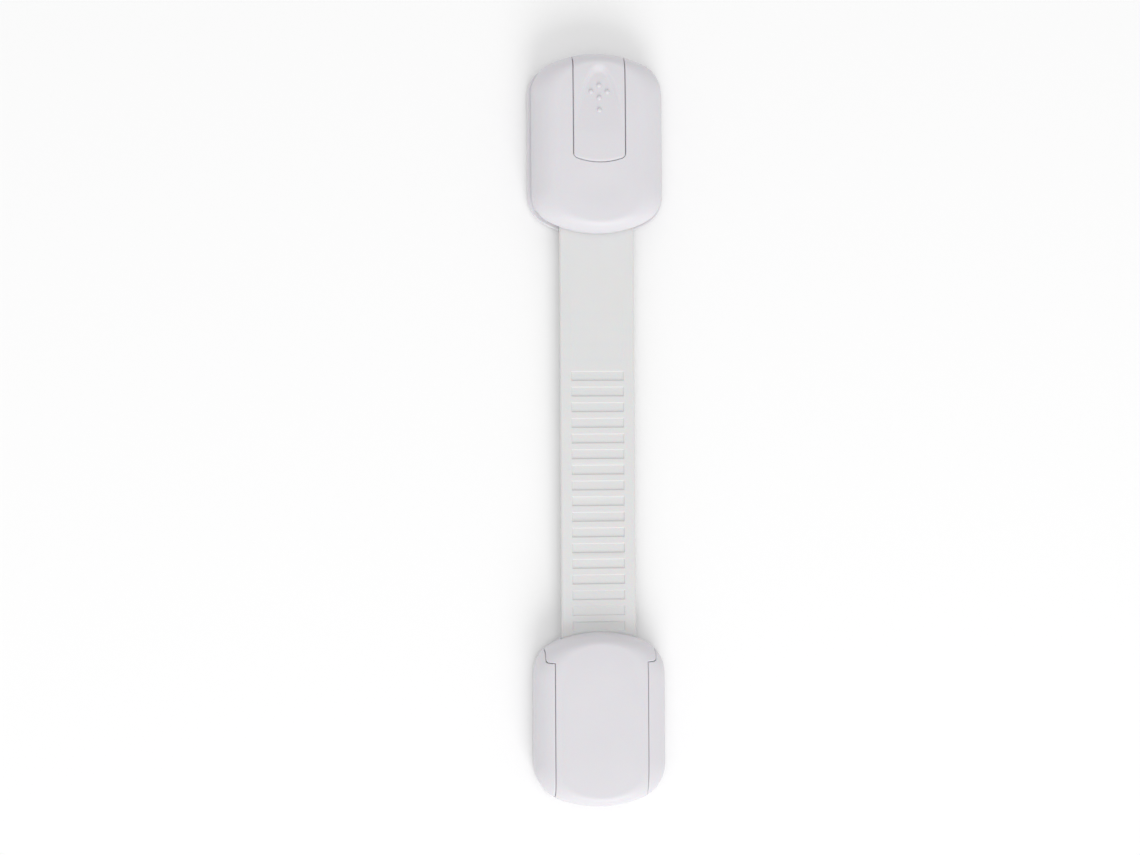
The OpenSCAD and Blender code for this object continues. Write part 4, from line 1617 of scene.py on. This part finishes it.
    def pawl(self) -> bpy.types.Object:
        """The steel pawl: a strip that rises from its seat and carries two bevelled teeth.

        Returns:
            The piece.
        """
        strap = LadderStrap()
        gap = strap.pocket_length / 2
        teeth = [strap.first_y - strap.pitch * k - gap - self.middle_y for k in (22, 23)]
        seat = [(-19.0, 2.25), (-13.2, 2.25), (-12.4, 2.35)]
        line = smooth_line(seat + [(teeth[1] - 2.2, 3.2), (teeth[0] + 1.3, 3.2)], 70, 4)
        section = flat_section(7.4, 0.25, 0.15)
        yz = line[:, None] + section[None, :, 1:] * [0, 1]
        x = np.broadcast_to(section[:, 0], yz.shape[:2])
        skin = Skin()
        add_tube(skin, np.concatenate([x[..., None], yz + [self.middle_y, 0]], -1))
        for y in teeth:
            tooth = corner_rounded([(y - 1.2, 3.3), (y + 1.2, 3.3), (y + 0.5, 4.8), (y - 0.5, 4.8)], 0.12, 3)
            add_crossbar(skin, tooth + [self.middle_y, 0], 7.2)
        return skin.piece("strap_pawl_leaf")

    def build(self, dresser: Dresser) -> None:
        """Builds and dresses the adjuster's pieces.

        Args:
            dresser: gives the pieces their finish and body.
        """
        dresser.dress(self.base(), SHELL, ["adjuster_base"], "adjuster")
        dresser.dress(self.cover(), BUTTON, ["adjuster_cover"], "adjuster_lid")
        dresser.dress(self.pawl(), SPRING, ["strap_pawl"], "adjuster")
        dresser.finish_node("pawl_rivets", ZINC)


# ---------------------------------------------------------------- pads, stage


@dataclass
class FoamPad:
    """A double-sided foam pad: a slab whose cut edge draws in a little between its two films."""

    name: str
    node: str
    body: str
    outline: Outline
    middle_y: float
    thickness: float = 1.0

    def build(self, dresser: Dresser) -> None:
        """Builds the pad, its edge drawn in by 0.06 + 0.16 sin(pi h)^0.6 at height share h between the films.

        Args:
            dresser: gives the pad its finish and body.
        """
        x = np.sin(np.linspace(-1, 1, 90) * QUARTER) * self.outline.width / 2
        y = self.outline.end_y(x)
        ring = dense_ring(np.vstack([np.stack([x, -y], -1), np.stack([x, y], -1)[::-1]]), 220)
        n = self.outline.out(ring[:, 0], ring[:, 1])
        film = 0.08
        h = np.array([0, film, film + 0.001, 0.2, 0.35, 0.5, 0.65, 0.8, 1 - film - 0.001, 1 - film, 1.0])
        foam = (h > film + 0.0005) & (h < 1 - film - 0.0005)
        draw = np.where(foam, 0.06 + 0.16 * np.maximum(np.sin(np.pi * h), 0) ** 0.6, 0.0)
        rows = [raised(ring - n * d, z * self.thickness) for d, z in zip(draw, h)]
        p = np.stack(rows) + [0, self.middle_y, 0]
        skin = Skin((0, self.middle_y))
        skin.grid(p, Facing.OUTWARD, closed=True)
        skin.lid(p[0], Facing.DOWN)
        skin.lid(p[-1], Facing.UP)
        dresser.dress(skin.piece(self.name), FOAM, [self.node], self.body)


@dataclass
class Studio:
    """Pale floor, soft lights and the camera.

    Args:
        view_width: width of the picture at the aim.
        distance: from the aim to the camera.
        aim: the point of the latch at the picture's middle.
        lean_deg: how far the camera leans to -X.
        roll_deg: how far it is turned about its own axis.
        sensor: width of its sensor.
        floor_half: half the floor's side.
        sky: strength of the even light from all round.
    """

    view_width: float = 342.0
    distance: float = 650.0
    aim: tuple[float, float] = (-8.4, 0.9)
    lean_deg: float = 6.5
    roll_deg: float = 0.35
    sensor: float = 36.0
    floor_half: float = 2500.0
    sky: float = 0.70

    def floor(self) -> None:
        """A wide pale sheet under the latch."""
        skin = Skin()
        g = np.linspace(-self.floor_half, self.floor_half, 5)
        x, y = np.meshgrid(g, g)
        skin.grid(np.stack([x, y, np.full_like(x, -0.05)], -1), Facing.UP)
        sheet = skin.piece("studio_floor")
        mat = bpy.data.materials.new("studio_paper")
        mat.use_nodes = True
        shader = mat.node_tree.nodes["Principled BSDF"]
        shader.inputs["Base Color"].default_value = srgb("#fbfbfb")
        shader.inputs["Roughness"].default_value = 0.9
        sheet.data.materials.append(mat)

    def light(self, name: str, spot: Sequence[float], size: float, watts: float) -> None:
        """A soft square light that faces the latch.

        Args:
            name: the light's name.
            spot: where it stands, in metres.
            size: its side, in metres.
            watts: its power.
        """
        data = bpy.data.lights.new(name, "AREA")
        data.size, data.energy = size, watts
        lamp = bpy.data.objects.new(name, data)
        bpy.context.scene.collection.objects.link(lamp)
        lamp.location = spot
        lamp.rotation_mode = "QUATERNION"
        lamp.rotation_quaternion = (-Vector(spot)).to_track_quat("-Z", "Y")

    def camera(self) -> None:
        """The camera: above the latch, leaning a little to its -X side, with +Y up the image."""
        data = bpy.data.cameras.new("camera")
        data.sensor_width = self.sensor
        data.lens = self.sensor * self.distance / self.view_width
        data.clip_start, data.clip_end = 0.01, 20
        cam = bpy.data.objects.new("camera", data)
        bpy.context.scene.collection.objects.link(cam)
        lean = np.radians(self.lean_deg)
        back = Vector((-np.sin(lean), 0, np.cos(lean)))
        right = Vector((0, 1, 0)).cross(back).normalized()
        roll = Matrix.Rotation(-np.radians(self.roll_deg), 3, back)
        right = roll @ right
        up = back.cross(right)
        place = Vector((self.aim[0], self.aim[1], 6.0)) * MM + back * self.distance * MM
        cam.matrix_world = Matrix((
            (right.x, up.x, back.x, place.x),
            (right.y, up.y, back.y, place.y),
            (right.z, up.z, back.z, place.z),
            (0, 0, 0, 1),
        ))
        bpy.context.scene.camera = cam

    def build(self) -> None:
        """Sets the stage."""
        self.floor()
        self.light("key", (0.3, -2.0, 1.3), 1.5, 26.5)
        self.light("top", (-0.3, 0.2, 2.6), 2.2, 8.6)
        self.camera()
        world = bpy.data.worlds.new("studio")
        bpy.context.scene.world = world
        world.use_nodes = True
        sky = world.node_tree.nodes["Background"]
        sky.inputs["Color"].default_value = srgb("#ffffff")
        sky.inputs["Strength"].default_value = self.sky
        bpy.context.scene.view_settings.view_transform = "Standard"


def main() -> None:
    """Builds every piece of the latch."""
    logging.basicConfig(level=logging.INFO, format="%(name)s: %(message)s")
    dresser = Dresser()
    head, adjuster = ReleaseHead(), Adjuster()
    Studio().build()
    head.build(dresser)
    LadderStrap().build(dresser)
    adjuster.build(dresser)
    release = Outline(37.7, 50.5, 30.9, 7.4)
    FoamPad("release_foam_pad", "release_adhesive_pad", "catch_plate", release, head.middle_y).build(dresser)
    stick = Outline(36.2, 49.0, 33.4, 9.6)
    FoamPad("adjuster_foam_pad", "adjuster_adhesive_pad", "adjuster", stick, adjuster.middle_y).build(dresser)


if __name__ == "__main__":
    main()
